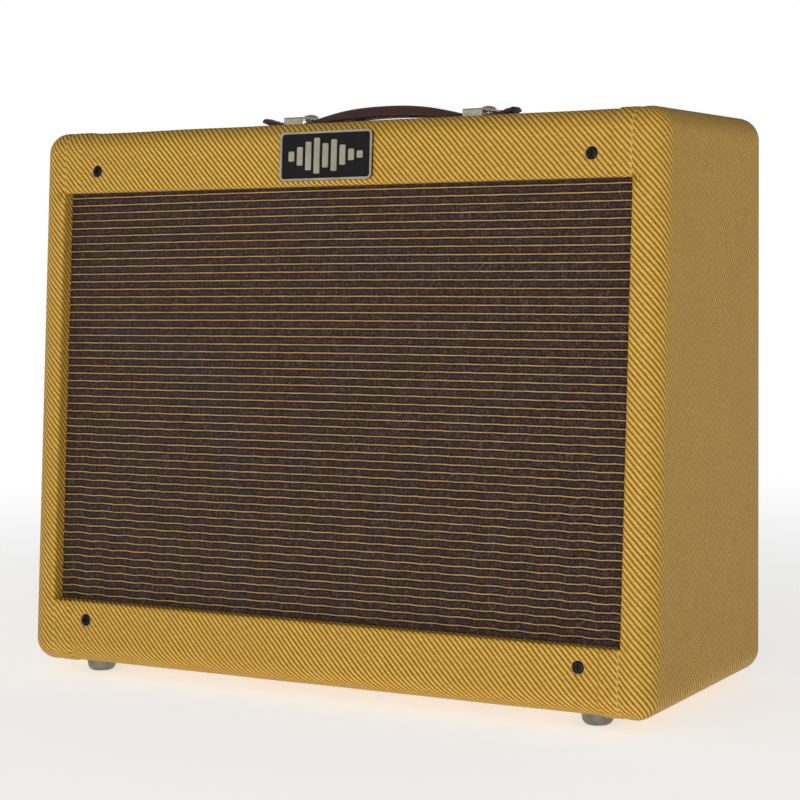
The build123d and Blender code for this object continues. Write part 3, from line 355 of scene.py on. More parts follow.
def wood(name, light, dark, stretch, ply=False):
    """Bare pine, or plywood with its glued layers."""
    s = Shader(name)
    where = s.place(stretch)
    waves = {"Vector": where, "Scale": 26.0, "Distortion": 7.0, "Detail": 3.0, "Detail Scale": 1.4}
    rings = s.node("TexWave", waves, wave_type="BANDS", bands_direction="Y",
                   wave_profile="SIN" if ply else "SAW").outputs["Fac"]
    fibres = s.noise(s.place(tuple(v * 6 for v in stretch)), 120.0, 4.0, 0.65)
    colour = s.blend(s.remap(rings, 0.1, 0.95, 0.0, 0.30 if ply else 0.85), light, dark)
    colour = s.blend(s.remap(fibres, 0.45, 0.72, 0.0, 0.35), colour, darker(dark, 0.6))
    if ply:
        flame = s.noise(s.place(tuple(v * 0.5 for v in stretch)), 14.0, 5.0, 0.6)
        colour = s.blend(s.remap(flame, 0.40, 0.65, 0.10, 0.75), colour, s.blend(fibres, light, dark))
    s.set(Base_Color=colour, Roughness=s.remap(fibres, 0.3, 0.7, 0.55, 0.75), Specular_IOR_Level=0.3)
    s.bump(s.plus(s.times(rings, 0.5), fibres), 0.00012, 0.5)
    return s.material


def glass(name, colour, roughness=0.02, **more):
    """Clear or tinted glass with faint smears."""
    s = Shader(name)
    smears = s.noise(s.place(), 70.0, 3.0)
    s.set(Base_Color=colour, Roughness=s.remap(smears, 0.45, 0.75, roughness, roughness + 0.08))
    s.set(Transmission_Weight=1.0, IOR=1.5)
    s.set(**more)
    return s.material


def speaker_paper():
    """Felted cone paper: grey-black fibres with browner patches."""
    s = Shader("cone_paper")
    where = s.place()
    fibres = s.noise(where, 700.0, 5.0, 0.7)
    clouds = s.noise(where, 50.0, 3.0)
    colour = s.blend(s.remap(fibres, 0.4, 0.7, 0.0, 1.0), srgb(52, 49, 46), srgb(84, 78, 70))
    colour = s.blend(s.remap(clouds, 0.45, 0.7, 0.0, 0.4), colour, srgb(66, 58, 50))
    s.set(Base_Color=colour, Roughness=0.9, Specular_IOR_Level=0.2)
    s.bump(fibres, 0.00015, 0.8)
    return s.material


PINE_LIGHT, PINE_DARK = srgb(222, 186, 132), srgb(190, 142, 86)
materials = {
    "tweed": tweed("tweed_twill"),
    "tweed_panel": tweed("tweed_twill_panel", uv=False),
    "grille_cloth": grille_weave(),
    "gold_thread": gold_thread(),
    "leather": leather(),
    "stitch": plain("stitch_thread", (118, 84, 70), (92, 60, 52), (0.6, 0.8), scale=400),
    "pine": wood("pine_boards", PINE_LIGHT, PINE_DARK, (0.25, 1.0, 0.9)),
    "pine_upright": wood("pine_upright", PINE_LIGHT, PINE_DARK, (0.9, 1.0, 0.25)),
    "plywood": wood("birch_plywood", srgb(204, 164, 112), srgb(176, 130, 82), (0.3, 1.0, 0.8), ply=True),
    "black_steel": plain("black_oxide", (46, 42, 42), (30, 27, 28), (0.32, 0.5), 0.85, fine=1500, specks=0.3),
    "zinc": plain("zinc_plate", (196, 198, 196), (168, 168, 160), (0.28, 0.42), 1.0, scale=250),
    "nickel": plain("nickel_plate", (206, 198, 178), (182, 172, 150), (0.16, 0.30), 1.0, scale=200),
    "glide_metal": plain("glide_metal", (132, 130, 118), (98, 96, 86), (0.34, 0.5), 0.85, specks=0.4),
    "badge_black": plain("badge_black", (17, 15, 18), (11, 10, 13), (0.5, 0.65), Specular_IOR_Level=0.2),
    "badge_silver": plain("badge_silver", (172, 166, 148), (148, 140, 120), (0.40, 0.55), 0.35, specks=0.2),
    "chrome": plain("chassis_chrome", (232, 232, 234), (218, 218, 222), (0.05, 0.12), 1.0, scale=30),
    "pot_steel": plain("pot_steel", (190, 186, 178), (160, 154, 146), (0.3, 0.45), 0.9, specks=0.2),
    "knob_black": plain("knob_black", (28, 26, 26), (20, 19, 19), (0.24, 0.38), coat=0.25, fine=1400),
    "clear_glass": glass("valve_glass", (0.97, 0.98, 0.98, 1.0)),
    "jewel_red": glass("jewel_red", srgb(205, 18, 14), 0.04, Emission_Color=srgb(160, 8, 4),
                       Emission_Strength=0.25),
    "socket_brown": plain("socket_brown", (96, 66, 42), (72, 48, 32), (0.45, 0.6), specks=0.4),
    "bakelite": plain("bakelite", (58, 40, 32), (40, 28, 24), (0.22, 0.38), coat=0.2, specks=0.4),
    "valve_metal": plain("valve_plates", (104, 104, 106), (70, 70, 74), (0.4, 0.6), 0.7, specks=0.5),
    "laminations": plain("laminations", (112, 106, 100), (70, 66, 64), (0.4, 0.6), 0.7, scale=1.0,
                         stretch=(1, 900, 1)),
    "transformer_paint": plain("transformer_paint", (40, 40, 42), (28, 28, 30), (0.3, 0.45), coat=0.2),
    "fibre_board": plain("fibre_board", (58, 52, 46), (42, 38, 34), (0.5, 0.7), specks=0.4),
    "component_body": plain("component_body", (206, 150, 44), (180, 116, 30), (0.25, 0.4), coat=0.3),
    "gasket_cork": plain("gasket_cork", (150, 126, 96), (118, 96, 72), (0.7, 0.9), specks=0.7, fine=500),
    "frame_paint": plain("frame_enamel", (132, 134, 132), (112, 114, 114), (0.3, 0.45), 0.2, coat=0.25),
    "magnet_metal": plain("magnet_plate", (150, 148, 144), (118, 116, 114), (0.3, 0.5), 0.8, specks=0.3),
    "cone_paper": speaker_paper(),
    "spider_cloth": plain("spider_cloth", (178, 134, 78), (150, 106, 56), (0.6, 0.8), fine=2500,
                          bump=0.0002),
    "coil_copper": plain("coil_copper", (206, 124, 76), (176, 96, 56), (0.3, 0.4), 0.9, scale=1.0,
                         stretch=(1, 3000, 1)),
    "plug_metal": plain("plug_nickel", (214, 210, 200), (188, 184, 172), (0.16, 0.3), 1.0),
    "lead_rubber": plain("lead_rubber", (34, 33, 33), (24, 24, 24), (0.5, 0.7)),
    "print": plain("panel_print", (30, 28, 28), (20, 20, 20), (0.5, 0.6)),
}

slot_of = {part["node"]: part["material_slot"] for part in frame["record"]["subparts"]}
for name, node in frame["nodes"].items():
    slot = slot_of[name]
    if slot == "tweed":
        slot = "tweed_panel"
    if name.startswith("side_board") or name == "back_panel_cleats":
        slot = "pine_upright"
    node.data.materials.clear()
    node.data.materials.append(materials[slot])


# ---- mesh helpers
def placed(name, data):
    """A new object, linked into the scene."""
    made = bpy.data.objects.new(name, data)
    bpy.context.scene.collection.objects.link(made)
    return made


def point_values(mesh, name, values, otherwise):
    """A value for every point, which materials read by name."""
    layer = mesh.attributes.new(name, "FLOAT", "POINT")
    if values is None:
        values = np.full(len(mesh.vertices), otherwise)
    layer.data.foreach_set("value", np.asarray(values, float))


def mesh_piece(name, points, faces, uv=None, edge=None, slot="tweed", body="root", material=None,
               painted_sheen_contrast=None):
    """A smooth mesh; its cloth map, edge paling (wear on the cloth, wear and painted highlight on the strap)
    and stripe contrast (lowered as painted sheen on the sides) are given point by point.
    """
    mesh = bpy.data.meshes.new(name)
    mesh.from_pydata([tuple(p) for p in points], [], faces)
    mesh.validate()
    mesh.polygons.foreach_set("use_smooth", [True] * len(mesh.polygons))
    corners = np.zeros(len(mesh.loops), np.int32)
    mesh.loops.foreach_get("vertex_index", corners)
    if uv is not None:
        layer = mesh.uv_layers.new(name="cloth")
        layer.data.foreach_set("uv", np.asarray(uv, np.float32)[corners].ravel())
    point_values(mesh, "edge", edge, 0.0)
    point_values(mesh, "painted_sheen_contrast", painted_sheen_contrast, 1.0)
    piece = placed(name, mesh)
    mesh.materials.append(materials[material or slot])
    if body:
        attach(piece, body)
    return piece


def grid_faces(rows, columns, start=0, keep=None, flip=False):
    """Quads over a grid of points; keep(row, column) tells which of them to make."""
    faces = []
    for i in range(rows - 1):
        for j in range(columns - 1):
            a = start + i * columns + j
            quad = (a, a + 1, a + columns + 1, a + columns)
            if keep is None or keep(i, j):
                faces.append(quad[::-1] if flip else quad)
    return faces


def rework(piece, change):
    """Lets a function change a piece's mesh through bmesh."""
    work = bmesh.new()
    work.from_mesh(piece.data)
    change(work)
    work.to_mesh(piece.data)
    work.free()
    return piece


def weld(piece):
    """Joins points that lie together, and drops those that no face uses."""
    def join(work):
        bmesh.ops.remove_doubles(work, verts=work.verts, dist=0.02 * MM)
        loose = [v for v in work.verts if not v.link_faces]
        bmesh.ops.delete(work, geom=loose, context="VERTS")
    return rework(piece, join)


# ---- cloth on the top and bottom of the case
def spaced(low, high, step):
    """Even places from low to high, about a step apart."""
    return list(np.linspace(low, high, max(2, round(abs(high - low) / step) + 1)))


def lap_inset(x):
    """How deep the middle cloth lies: flush with the doubled cloth beyond the lap line."""
    groove = 0.25 * MM * np.exp(-((np.abs(x) - LAP_X + 0.9 * MM) / (0.7 * MM)) ** 2)
    return MIDDLE_INSET * (1.0 - smooth(np.abs(x), LAP_X - 0.6 * MM, LAP_X + 0.8 * MM)) + groove


def ripple(x, v):
    """Slight unevenness of the glued cloth."""
    return 0.10 * MM * (np.sin(x * 71 + 1.3) * np.sin(v * 93 + 0.4) + 0.6 * np.sin(x * 37 - v * 54))


def front_sample(z):
    return (front_y(z), z, *FRONT_NORMAL, z / math.cos(lean))


def turned_in(z_edge, inwards, sign):
    """The cloth's fold into the opening, from the grille out to the front; sign is +1 at the top edge."""
    radius = 1.7 * MM
    v_edge = z_edge / math.cos(lean)
    samples = []
    for depth in (inwards, inwards * 0.6, inwards * 0.3):
        v = v_edge - sign * (depth - radius * 0.43)     # a quarter arc is 0.43 radii shorter than its corner
        samples.append((front_y(z_edge, depth), z_edge, 0.0, 0.0, v))
    for angle in (0, 22, 45, 68):
        a = math.radians(angle)
        inset = radius * (1 - math.sin(a)) + MIDDLE_INSET * (1 - math.sin(a))
        z = z_edge + sign * radius * (1 - math.cos(a))
        share = math.sin(a)
        v = v_edge + sign * radius * (a - 1.0)
        samples.append((front_y(z, inset), z, share * FRONT_NORMAL[0], share * FRONT_NORMAL[1], v))
    return samples


def round_edge(samples, centre_y, centre_z, start, end):
    """Adds a round edge and returns its last v; the normal's angle is 180 degrees in front and 90 above."""
    v = samples[-1][4]
    for t in np.linspace(0, 1, 15)[1:]:
        a = math.radians(start + (end - start) * t)
        n = (math.cos(a), math.sin(a))
        turn = abs(math.radians(end - start)) * t * EDGE_RADIUS
        samples.append((centre_y + EDGE_RADIUS * n[0], centre_z + EDGE_RADIUS * n[1], *n,
                        v + math.copysign(turn, start - end)))
    return samples[-1][4]


core_front_low = front_y(core_low, EDGE_RADIUS)
core_front_high = front_y(core_high, EDGE_RADIUS)
lean_deg = math.degrees(lean)


def top_profile(rear):
    """Samples (y, z, normal y, normal z, v) from the grille, over the top, to the notch or the back."""
    samples = turned_in(OPENING_HIGH, grille_inset, 1.0)
    flat_end = core_high + EDGE_RADIUS * math.sin(lean)
    samples += [front_sample(z) for z in spaced(OPENING_HIGH + 1.9 * MM, flat_end, 0.8 * MM)]
    v = round_edge(samples, core_front_high, core_high, 180 - lean_deg, 90)
    end_y = core_back if rear else notch_front
    for y in spaced(core_front_high, end_y, 6 * MM)[1:]:
        samples.append((y, case_top, 0.0, 1.0, v + y - core_front_high))
    if rear:
        v = round_edge(samples, core_back, core_high, 90, 0)
        for z in spaced(core_high, rear_high_z + 0.3 * MM, 2 * MM)[1:]:
            samples.append((back_y, z, 1.0, 0.0, v + core_high - z))
        samples.append((back_y - 5 * MM, rear_high_z + 0.2 * MM, 0.0, 0.0, v + 8 * MM))
    else:
        v = samples[-1][4]
        for drop in (0.5, 2.0, 6.0, 10.0):
            depth = drop * MM
            samples.append((notch_front + 0.4 * MM, case_top - MIDDLE_INSET - depth, 0.0, 0.0, v + depth))
    return samples


def bottom_profile():
    """The same from the grille, under the bottom, to the back."""
    samples = turned_in(OPENING_LOW, grille_inset, -1.0)
    flat_end = core_low + EDGE_RADIUS * math.sin(lean)
    samples += [front_sample(z) for z in spaced(OPENING_LOW - 1.9 * MM, flat_end, 0.8 * MM)]
    v = round_edge(samples, core_front_low, core_low, 180 - lean_deg, 270)
    for y in spaced(core_front_low, core_back, 8 * MM)[1:]:
        samples.append((y, case_bottom, 0.0, -1.0, v - (y - core_front_low)))
    v = round_edge(samples, core_back, core_low, 270, 360)
    for z in spaced(core_low, rear_low_z - 0.3 * MM, 2 * MM)[1:]:
        samples.append((back_y, z, 1.0, 0.0, v - (z - core_low)))
    samples.append((back_y - 5 * MM, rear_low_z - 0.2 * MM, 0.0, 0.0, v - 8 * MM))
    return samples


def cross_lines():
    """X places of the grid, close together at the screws, the lap and the seam."""
    places = spaced(0, SCREW_X - 9 * MM, 6.5 * MM) + spaced(SCREW_X - 8 * MM, SCREW_X + 8 * MM, 0.75 * MM)
    places += spaced(SCREW_X + 9 * MM, 222 * MM, 0.8 * MM) + spaced(223 * MM, SEAM_X, 1.6 * MM)
    places = [x for x in places if x < SEAM_X - 0.2 * MM] + [SEAM_X]
    return np.array(sorted({-x for x in places} | set(places)))


def cloth_points(xs, samples, screw_z):
    """Points, cloth map and edge wear of a middle cloth, with its screw recesses."""
    points, uv, edge = [], [], []
    for y, z, ny, nz, v in samples:
        for x in xs:
            inset = lap_inset(x) + ripple(x, v) * (1.0 - smooth(abs(x), 210 * MM, 216 * MM))
            cut = abs(x) > SEAM_X - 0.01 * MM
            inset += (0.5 * MM if cut else 0.0)
            reach = math.hypot(abs(x) - SCREW_X, (z - screw_z) / math.cos(lean))
            if ny < -0.9:
                inset += 4.6 * MM * (1.0 - smooth(reach, 4.2 * MM, 4.8 * MM))
                inset += 0.25 * MM * (1.0 - smooth(reach, 4.6 * MM, 7.5 * MM))
            points.append((x, y - inset * ny, z - inset * nz))
            uv.append((x, v))
            edge.append(max(1.0 if cut else 0.0, 0.6 * float(smooth(abs(x), SEAM_X - 1.2 * MM, SEAM_X))))
    return points, uv, edge


def near_screw(points, columns, screw_z):
    """Tells whether a quad lies inside a screw's recess, where the cloth is cut away."""
    def inside(i, j):
        x, y, z = np.mean([points[(i + a) * columns + j + b] for a in (0, 1) for b in (0, 1)], axis=0)
        return y < front_y(z, 12 * MM) and math.hypot(abs(x) - SCREW_X, z - screw_z) < 4.2 * MM
    return inside


def top_cloth():
    points, uv, edge, faces = [], [], [], []
    for side in (0, -1, 1):
        xs = cross_lines()
        if side == 0:
            xs = np.array([x for x in xs if abs(x) < notch_half - 0.2 * MM] + [-notch_half, notch_half])
            xs = np.sort(xs)
        else:
            xs = np.array([notch_half] + [x for x in xs if x > notch_half + 0.2 * MM]) * side
        samples = top_profile(rear=side != 0)
        more, more_uv, more_edge = cloth_points(xs, samples, SCREW_HIGH_Z)
        inside = near_screw(more, len(xs), SCREW_HIGH_Z)
        start = len(points)
        faces += grid_faces(len(samples), len(xs), start, lambda i, j: not inside(i, j), flip=side < 0)
        points, uv, edge = points + more, uv + more_uv, edge + more_edge
    for side in (-1, 1):
        start = len(points)
        ys = spaced(notch_front + 0.4 * MM, back_y - 5 * MM, 8 * MM)
        for drop in (0.0, 0.5, 3.0, 8.0, 12.0):
            for y in ys:
                top = case_top - MIDDLE_INSET - drop * MM
                if y > core_back:
                    top -= EDGE_RADIUS - math.sqrt(max(0.0, EDGE_RADIUS ** 2 - (y - core_back) ** 2))
                points.append((side * (notch_half - 0.4 * MM * min(1, drop)), y, top))
                uv.append((side * (notch_half - drop * MM), y + 0.45))
                edge.append(0.0)
        faces += grid_faces(5, len(ys), start, flip=side > 0)
    return weld(mesh_piece("cloth_top", points, faces, uv, edge))


def bottom_cloth():
    xs = cross_lines()
    samples = bottom_profile()
    points, uv, edge = cloth_points(xs, samples, SCREW_LOW_Z)
    inside = near_screw(points, len(xs), SCREW_LOW_Z)
    faces = grid_faces(len(samples), len(xs), 0, lambda i, j: not inside(i, j), flip=True)
    return weld(mesh_piece("cloth_bottom", points, faces, uv, edge))


# ---- cloth on the two sides
def side_loop():
    """Columns round the flat side: core y and z, direction y and z, kind of edge, and place in a corner."""
    loop = []
    corners = {
        "front_low": (core_front_low, core_low), "front_high": (core_front_high, core_high),
        "back_high": (core_back, core_high), "back_low": (core_back, core_low),
    }

    def add(point, angle, kind, corner=None):
        a = math.radians(angle)
        loop.append((*point, math.cos(a), math.sin(a), kind, corner))

    def corner(name, upright, flat, shares):
        """Fan from the upright edge's normal to the level edge's, taken at the given shares of the turn."""
        for share in shares:
            add(corners[name], upright + (flat - upright) * share, "edge", (upright, flat > upright, share))

    rising = list(np.linspace(0, 1, 11)[1:])
    falling = rising[::-1]
    front = 180 - lean_deg
    for y in spaced(core_back, core_front_low, 8 * MM):
        add((y, core_low), 270, "edge")
    corner("front_low", front, 270, falling)
    lift = EDGE_RADIUS * math.sin(lean)
    for z in spaced(core_low, OPENING_LOW - lift, 3 * MM):
        add((front_y(z, EDGE_RADIUS), z), front, "edge")
    for z in spaced(OPENING_LOW - lift, OPENING_HIGH - lift, 8 * MM):
        add((front_y(z, EDGE_RADIUS), z), front, "opening")
    for z in spaced(OPENING_HIGH - lift, core_high, 3 * MM):
        add((front_y(z, EDGE_RADIUS), z), front, "edge")
    corner("front_high", front, 90, rising)
    for y in spaced(core_front_high, core_back, 8 * MM):
        add((y, core_high), 90, "edge")
    corner("back_high", 0, 90, falling)
    for z in spaced(core_high, rear_high_z, 3 * MM):
        add((core_back, z), 0, "edge")
    for z in spaced(rear_high_z, rear_low_z, 8 * MM):
        add((core_back, z), 0, "rear")
    for z in spaced(rear_low_z, core_low, 3 * MM):
        add((core_back, z), 0, "edge")
    corner("back_low", 0, -90, rising)
    return loop


def side_map(y, z):
    """Cloth map of the flat side: inwards from the front edge, and up along it."""
    place = np.array([y - core_front_low, z - core_low])
    return np.array([core_x + EDGE_RADIUS * math.pi / 2 + place @ -FRONT_NORMAL,
                     place @ FRONT_UP + core_low / math.cos(lean)])


def map_towards(angle):
    """Direction in the cloth map of a direction in the side's plane."""
    direction = np.array([math.cos(angle), math.sin(angle)])
    return np.array([direction @ -FRONT_NORMAL, direction @ FRONT_UP])


def map_travel(column, psi, extra):
    """Way over the cloth from the flat side to a point psi round the edge and then extra along the flat."""
    cy, cz, dy, dz, kind, corner = column
    if corner is None:
        return map_towards(math.atan2(dz, dy)) * (EDGE_RADIUS * psi + extra)
    upright, rising, share = corner
    turn = share * math.pi / 2
    square = math.radians(upright + (90 if rising else -90))
    round_upright = math.atan2(math.sin(psi) * max(1e-6, math.cos(turn)), math.cos(psi))
    latitude = math.asin(min(1.0, math.sin(psi) * math.sin(turn)))
    return (map_towards(math.radians(upright)) * (EDGE_RADIUS * round_upright + extra)
            + map_towards(square) * EDGE_RADIUS * latitude)


def side_cloth(sign):
    """One piece of cloth over the whole side, folded round onto the front, top, bottom and back."""
    loop = side_loop()
    flat = core_x - OPENING_HALF
    radius = 2.4 * MM          # of the folds into the opening and into the back
    quarter = math.pi / 2
    rim = 4 * MM               # between the round edge and the single face over the flat side
    turns = 15                 # points round the edge
    steps = 6                  # points on the flat beyond it
    points, uv, painted_sheen_contrast = [], [], []
    for column in loop:
        cy, cz, dy, dz, kind, corner = column
        inner_z = min(max(cz, core_low + rim), core_high - rim)
        inner_y = min(max(cy, front_y(inner_z, EDGE_RADIUS) + rim), core_back - rim)
        points.append((sign * half_width, inner_y, inner_z))
        spots = [side_map(inner_y, inner_z)]
        # painted sheen: the stripes on the flat side are flattened to half contrast
        painted_sheen_contrast.append(0.5)
        samples = []
        for psi in np.linspace(0, quarter, turns):
            samples.append((core_x + EDGE_RADIUS * math.cos(psi), EDGE_RADIUS * math.sin(psi), psi, 0.0))
        sunk = 0.0 if kind == "opening" else 0.45 * MM
        last = flat - (radius if kind != "edge" else 0.0)
        for t in np.linspace(0, 1, steps + 1)[1:]:
            out = EDGE_RADIUS - sunk * float(smooth(t, 0.3, 1.0))
            samples.append((core_x - last * t, out, quarter, last * t))
        if kind == "edge":
            for step in (0.8, 1.6, 2.4, 3.2, 4.0, 4.8, 5.6):
                depth = 0.45 + 0.5 * min(1.0, step / 1.6)
                extra = last + step * MM
                samples.append((core_x - extra, EDGE_RADIUS - depth * MM, quarter, extra))
        else:
            depth_end = grille_inset if kind == "opening" else 6 * MM
            for angle in (22, 45, 67, 90):
                a = math.radians(angle)
                samples.append((OPENING_HALF + radius * (1 - math.sin(a)),
                                EDGE_RADIUS - sunk - radius * (1 - math.cos(a)), quarter, last + radius * a))
            for t in (0.35, 0.7, 1.0):
                depth = radius + (depth_end - radius - sunk) * t
                extra = last + radius * 0.57 + depth
                samples.append((OPENING_HALF, EDGE_RADIUS - sunk - depth, quarter, extra))
        for x, out, psi, extra in samples:
            points.append((sign * x, cy + out * dy, cz + out * dz))
            spots.append(side_map(cy, cz) + map_travel(column, psi, extra))
            # painted sheen: contrast comes back to full round the edge, towards the front, top, bottom and
            # back
            painted_sheen_contrast.append(0.5 + 0.5 * float(smooth(psi, 0.0, 0.6)))
        uv += [(sign * u + 3.0 * MM, v) for u, v in spots]
    count = len(loop)
    width = len(points) // count
    seam = turns + steps       # beyond it, columns of different kinds aren't joined
    faces = []
    for i in range(count):
        j = (i + 1) % count
        same = abs(np.array(loop[i][:4]) - np.array(loop[j][:4])).max() < 1e-6
        if same and loop[i][4] == loop[j][4]:
            continue
        for k in range(width - 1):
            if k >= seam and loop[i][4] != loop[j][4]:
                continue
            quad = (i * width + k, i * width + k + 1, j * width + k + 1, j * width + k)
            faces.append(quad if sign < 0 else quad[::-1])
    middle = [i * width for i in range(count)]
    faces.append(tuple(middle if sign < 0 else middle[::-1]))
    name = "cloth_side_right" if sign > 0 else "cloth_side_left"
    return weld(mesh_piece(name, points, faces, uv, painted_sheen_contrast=painted_sheen_contrast))


cloths = [       # CAD node, cloth, size of the piece that it is cut from, and board under it
    ("covering_top", top_cloth(), (462 * MM, 255 * MM), "top_board"),
    ("covering_bottom", bottom_cloth(), (462 * MM, 290 * MM), "bottom_board"),
    ("covering_left", side_cloth(-1), (305 * MM, 478 * MM), "side_board_left"),
    ("covering_right", side_cloth(1), (305 * MM, 478 * MM), "side_board_right"),
]
for node, piece, cut, under in cloths:
    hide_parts(node)


# ---- grille cloth
grille_low, grille_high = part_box("grille_cloth")


def pull(x, z):
    """Sideways waves where the stretched cloth is stapled, strongest at the bottom corners."""
    low = 1.0 - smooth(z, 0.06, 0.26)
    corner = smooth(np.abs(x), 0.05, 0.24)
    drift = 0.9 * np.sin(z * 31 + x * 5) + 0.5 * np.sin(z * 83 - x * 11)
    wave = np.sin(x * math.tau / 0.0218 + 0.8 + drift) + 0.35 * np.sin(x * math.tau / 0.0091 + z * 140)
    bow = 0.35 * MM * np.sin(x * 13 + z * 6)
    return (0.06 + 0.30 * low * (0.35 + 0.65 * corner)) * MM * wave + bow


def grille_depth(x, z, out=0.0):
    """How deep the cloth's face lies; it swells slightly between its staples."""
    swell = 0.25 * MM * math.sin(x * 9.1 + 0.5) * math.sin(z * 12.3)
    return grille_inset + 0.35 * MM + swell - out


def grille_sheet():
    """The woven ground between the gold yarns."""
    xs = np.array(spaced(grille_low.x, grille_high.x, 6 * MM))
    zs = np.array(spaced(grille_low.z, grille_high.z, 6 * MM))
    points, uv = [], []
    for z in zs:
        for x in xs:
            points.append((x, front_y(z, grille_depth(x, z)), z))
            uv.append((x, (z - pull(x, z) - grille_low.z) / math.cos(lean)))
    return mesh_piece("grille_sheet", points, grid_faces(len(zs), len(xs)), uv, slot="grille_cloth")


def gold_threads():
    """One flattened half-round yarn for each pinstripe, following the pull of the cloth."""
    points, uv, faces = [], [], []
    xs = np.array(spaced(-OPENING_HALF + 0.2 * MM, OPENING_HALF - 0.2 * MM, 2.2 * MM))
    section = [(-0.50, -0.15), (-0.36, 0.16), (0.0, 0.30), (0.36, 0.16), (0.50, -0.15)]
    count = int((grille_high.z - grille_low.z) / (PINSTRIPE_PITCH * math.cos(lean)))
    for n in range(count):
        base = grille_low.z + n * PINSTRIPE_PITCH * math.cos(lean)
        if not OPENING_LOW - 2 * MM < base < OPENING_HIGH + 2 * MM:
            continue
        start = len(points)
        for x in xs:
            z = base + pull(x, base)
            for up, out in section:
                height = z + up * MM
                points.append((x, front_y(height, grille_depth(x, z, out * MM)), height))
                uv.append((x, n * PINSTRIPE_PITCH + up * MM))
        faces += grid_faces(len(xs), len(section), start, flip=True)
    return mesh_piece("grille_gold_threads", points, faces, uv, slot="grille_cloth", material="gold_thread")


sheet = grille_sheet()
threads = gold_threads()
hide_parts("grille_cloth")


# ---- handle
strap_low, strap_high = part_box("handle_strap")
tail_low, tail_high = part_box("handle_tail_right")
handle_y = (strap_low.y + strap_high.y) / 2
grip_end = strap_high.x
strap_bottom = strap_low.z
MIDDLE_THICK = 8.6 * MM
END_THICK = 3.8 * MM
TAIL_THICK = 3.6 * MM
TAIL_START = 77.0 * MM           # X where the tail comes out of its cap
TAIL_LIFTS = 85.0 * MM           # X where it leaves the case
STITCH_PITCH = 3.6 * MM
WELT = 8                         # point of the strap's outline that the stitches follow
STITCH = ((-1.25, 0.08), (-0.9, 0.26), (0.0, 0.32), (0.9, 0.26), (1.25, 0.08))     # along, radius
arch_rise = strap_high.z - strap_low.z - 9.0 * MM
tail_curl = 0.85 * (tail_high.z - tail_low.z - TAIL_THICK)
tip_x = tail_high.x


def strap_section(half_width, thickness, padding):
    """Outline of the strap from its lower edge round: a base layer, and a padded ridge between two welts.
    Each point has a place across, a height, and how much paler it is, from rubbed wear and painted highlight."""
    w, t = half_width, thickness
    base = t * (0.40 + 0.55 * (1 - padding))
    rise = padding * (t - base) + (1 - padding) * 0.05 * t
    # third values: how much paler each point is, from rubbed wear and painted highlight on the rims, welt
    # tops and upper slopes
    half = [
        (0.0, 0.0, 0.0), (w * 0.6, 0.0, 0.0), (w - 0.9 * MM, 0.02 * t, 0.2), (w - 0.15 * MM, 0.12 * t, 0.8),
        (w, base * 0.42, 0.5), (w - 0.35 * MM, base * 0.50, 0.0), (w - 0.30 * MM, base * 0.58, 0.1),
        (w - 0.9 * MM, base * 0.80, 0.3), (w - 1.9 * MM, base * 0.98, 0.9), (w - 2.5 * MM, base * 0.96, 0.0),
        (w - 2.9 * MM, base + 0.30 * rise, 0.1), (w - 3.6 * MM, base + 0.62 * rise, 0.2),
        (w * 0.52, base + 0.90 * rise, 0.6), (w * 0.26, base + 0.98 * rise, 0.2), (0.0, base + rise, 0.15),
    ]
    left = [(-y, z, e) for y, z, e in half[1:-1]][::-1]
    return half + left


def slope_at(centre_z, x):
    return (centre_z(x + 0.0004) - centre_z(x - 0.0004)) / 0.0008


def strap_piece(name, xs, centre_z, shape, body):
    """Strap along X. centre_z gives the lower face, and shape gives (half width, thickness, padding)."""
    points, uv, edge, faces = [], [], [], []
    rings = []
    for x in xs:
        tilt = math.atan(slope_at(centre_z, x))
        ring = strap_section(*shape(x))
        rings.append(len(points))
        for k, (y, z, e) in enumerate(ring):
            points.append((x - z * math.sin(tilt), handle_y + y, centre_z(x) + z * math.cos(tilt)))
            uv.append((x, k * MM))
            edge.append(e)
    around = len(ring)
    for a, b in zip(rings, rings[1:]):
        for k in range(around):
            following = (k + 1) % around
            faces.append((a + k, b + k, b + following, a + following))
    faces.append(tuple(range(rings[0], rings[0] + around)))
    faces.append(tuple(reversed(range(rings[-1], rings[-1] + around))))
    piece = mesh_piece(name, points, faces, uv, edge, slot="leather", body=body)
    return rework(piece, lambda work: bmesh.ops.recalc_face_normals(work, faces=work.faces))


def grip_z(x):
    t = min(1.0, abs(x) / grip_end)
    return strap_bottom + arch_rise * (1 - t * t)


def grip_shape(x):
    t = min(1.0, abs(x) / grip_end)
    narrow = float(smooth(abs(x), 26 * MM, grip_end - 2 * MM))
    return (12.5 - 3.0 * narrow) * MM, MIDDLE_THICK + (END_THICK - MIDDLE_THICK) * t ** 3, 1.0 - 0.85 * t ** 3


def tail_z(x):
    t = max(0.0, (abs(x) - TAIL_LIFTS) / (tip_x - TAIL_LIFTS))
    return strap_bottom + tail_curl * t ** 1.6


def tail_shape(x):
    t = float(smooth(abs(x), tip_x - 9 * MM, tip_x))
    return (9.5 - 1.6 * t * t) * MM, TAIL_THICK, 0.1


inner_end = grip_end + 1.2 * MM
halves = {}


def bend_at_cap(piece):
    """Bakes the piece's placement into its mesh."""
    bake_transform(piece)


for sign, side in ((1, "right"), (-1, "left")):
    xs = [sign * x for x in spaced(0.0, inner_end, 1.4 * MM)]
    halves[side] = strap_piece("strap_grip_" + side, xs, grip_z, grip_shape, body=None)
    bend_at_cap(halves[side])
    xs = [sign * x for x in spaced(TAIL_START, tip_x - 0.4 * MM, 1.0 * MM)]
    tail = strap_piece("strap_tail_piece_" + side, xs, tail_z, tail_shape, body="strap_tail_" + side)
    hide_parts("handle_tail_" + side)
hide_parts("handle_strap")


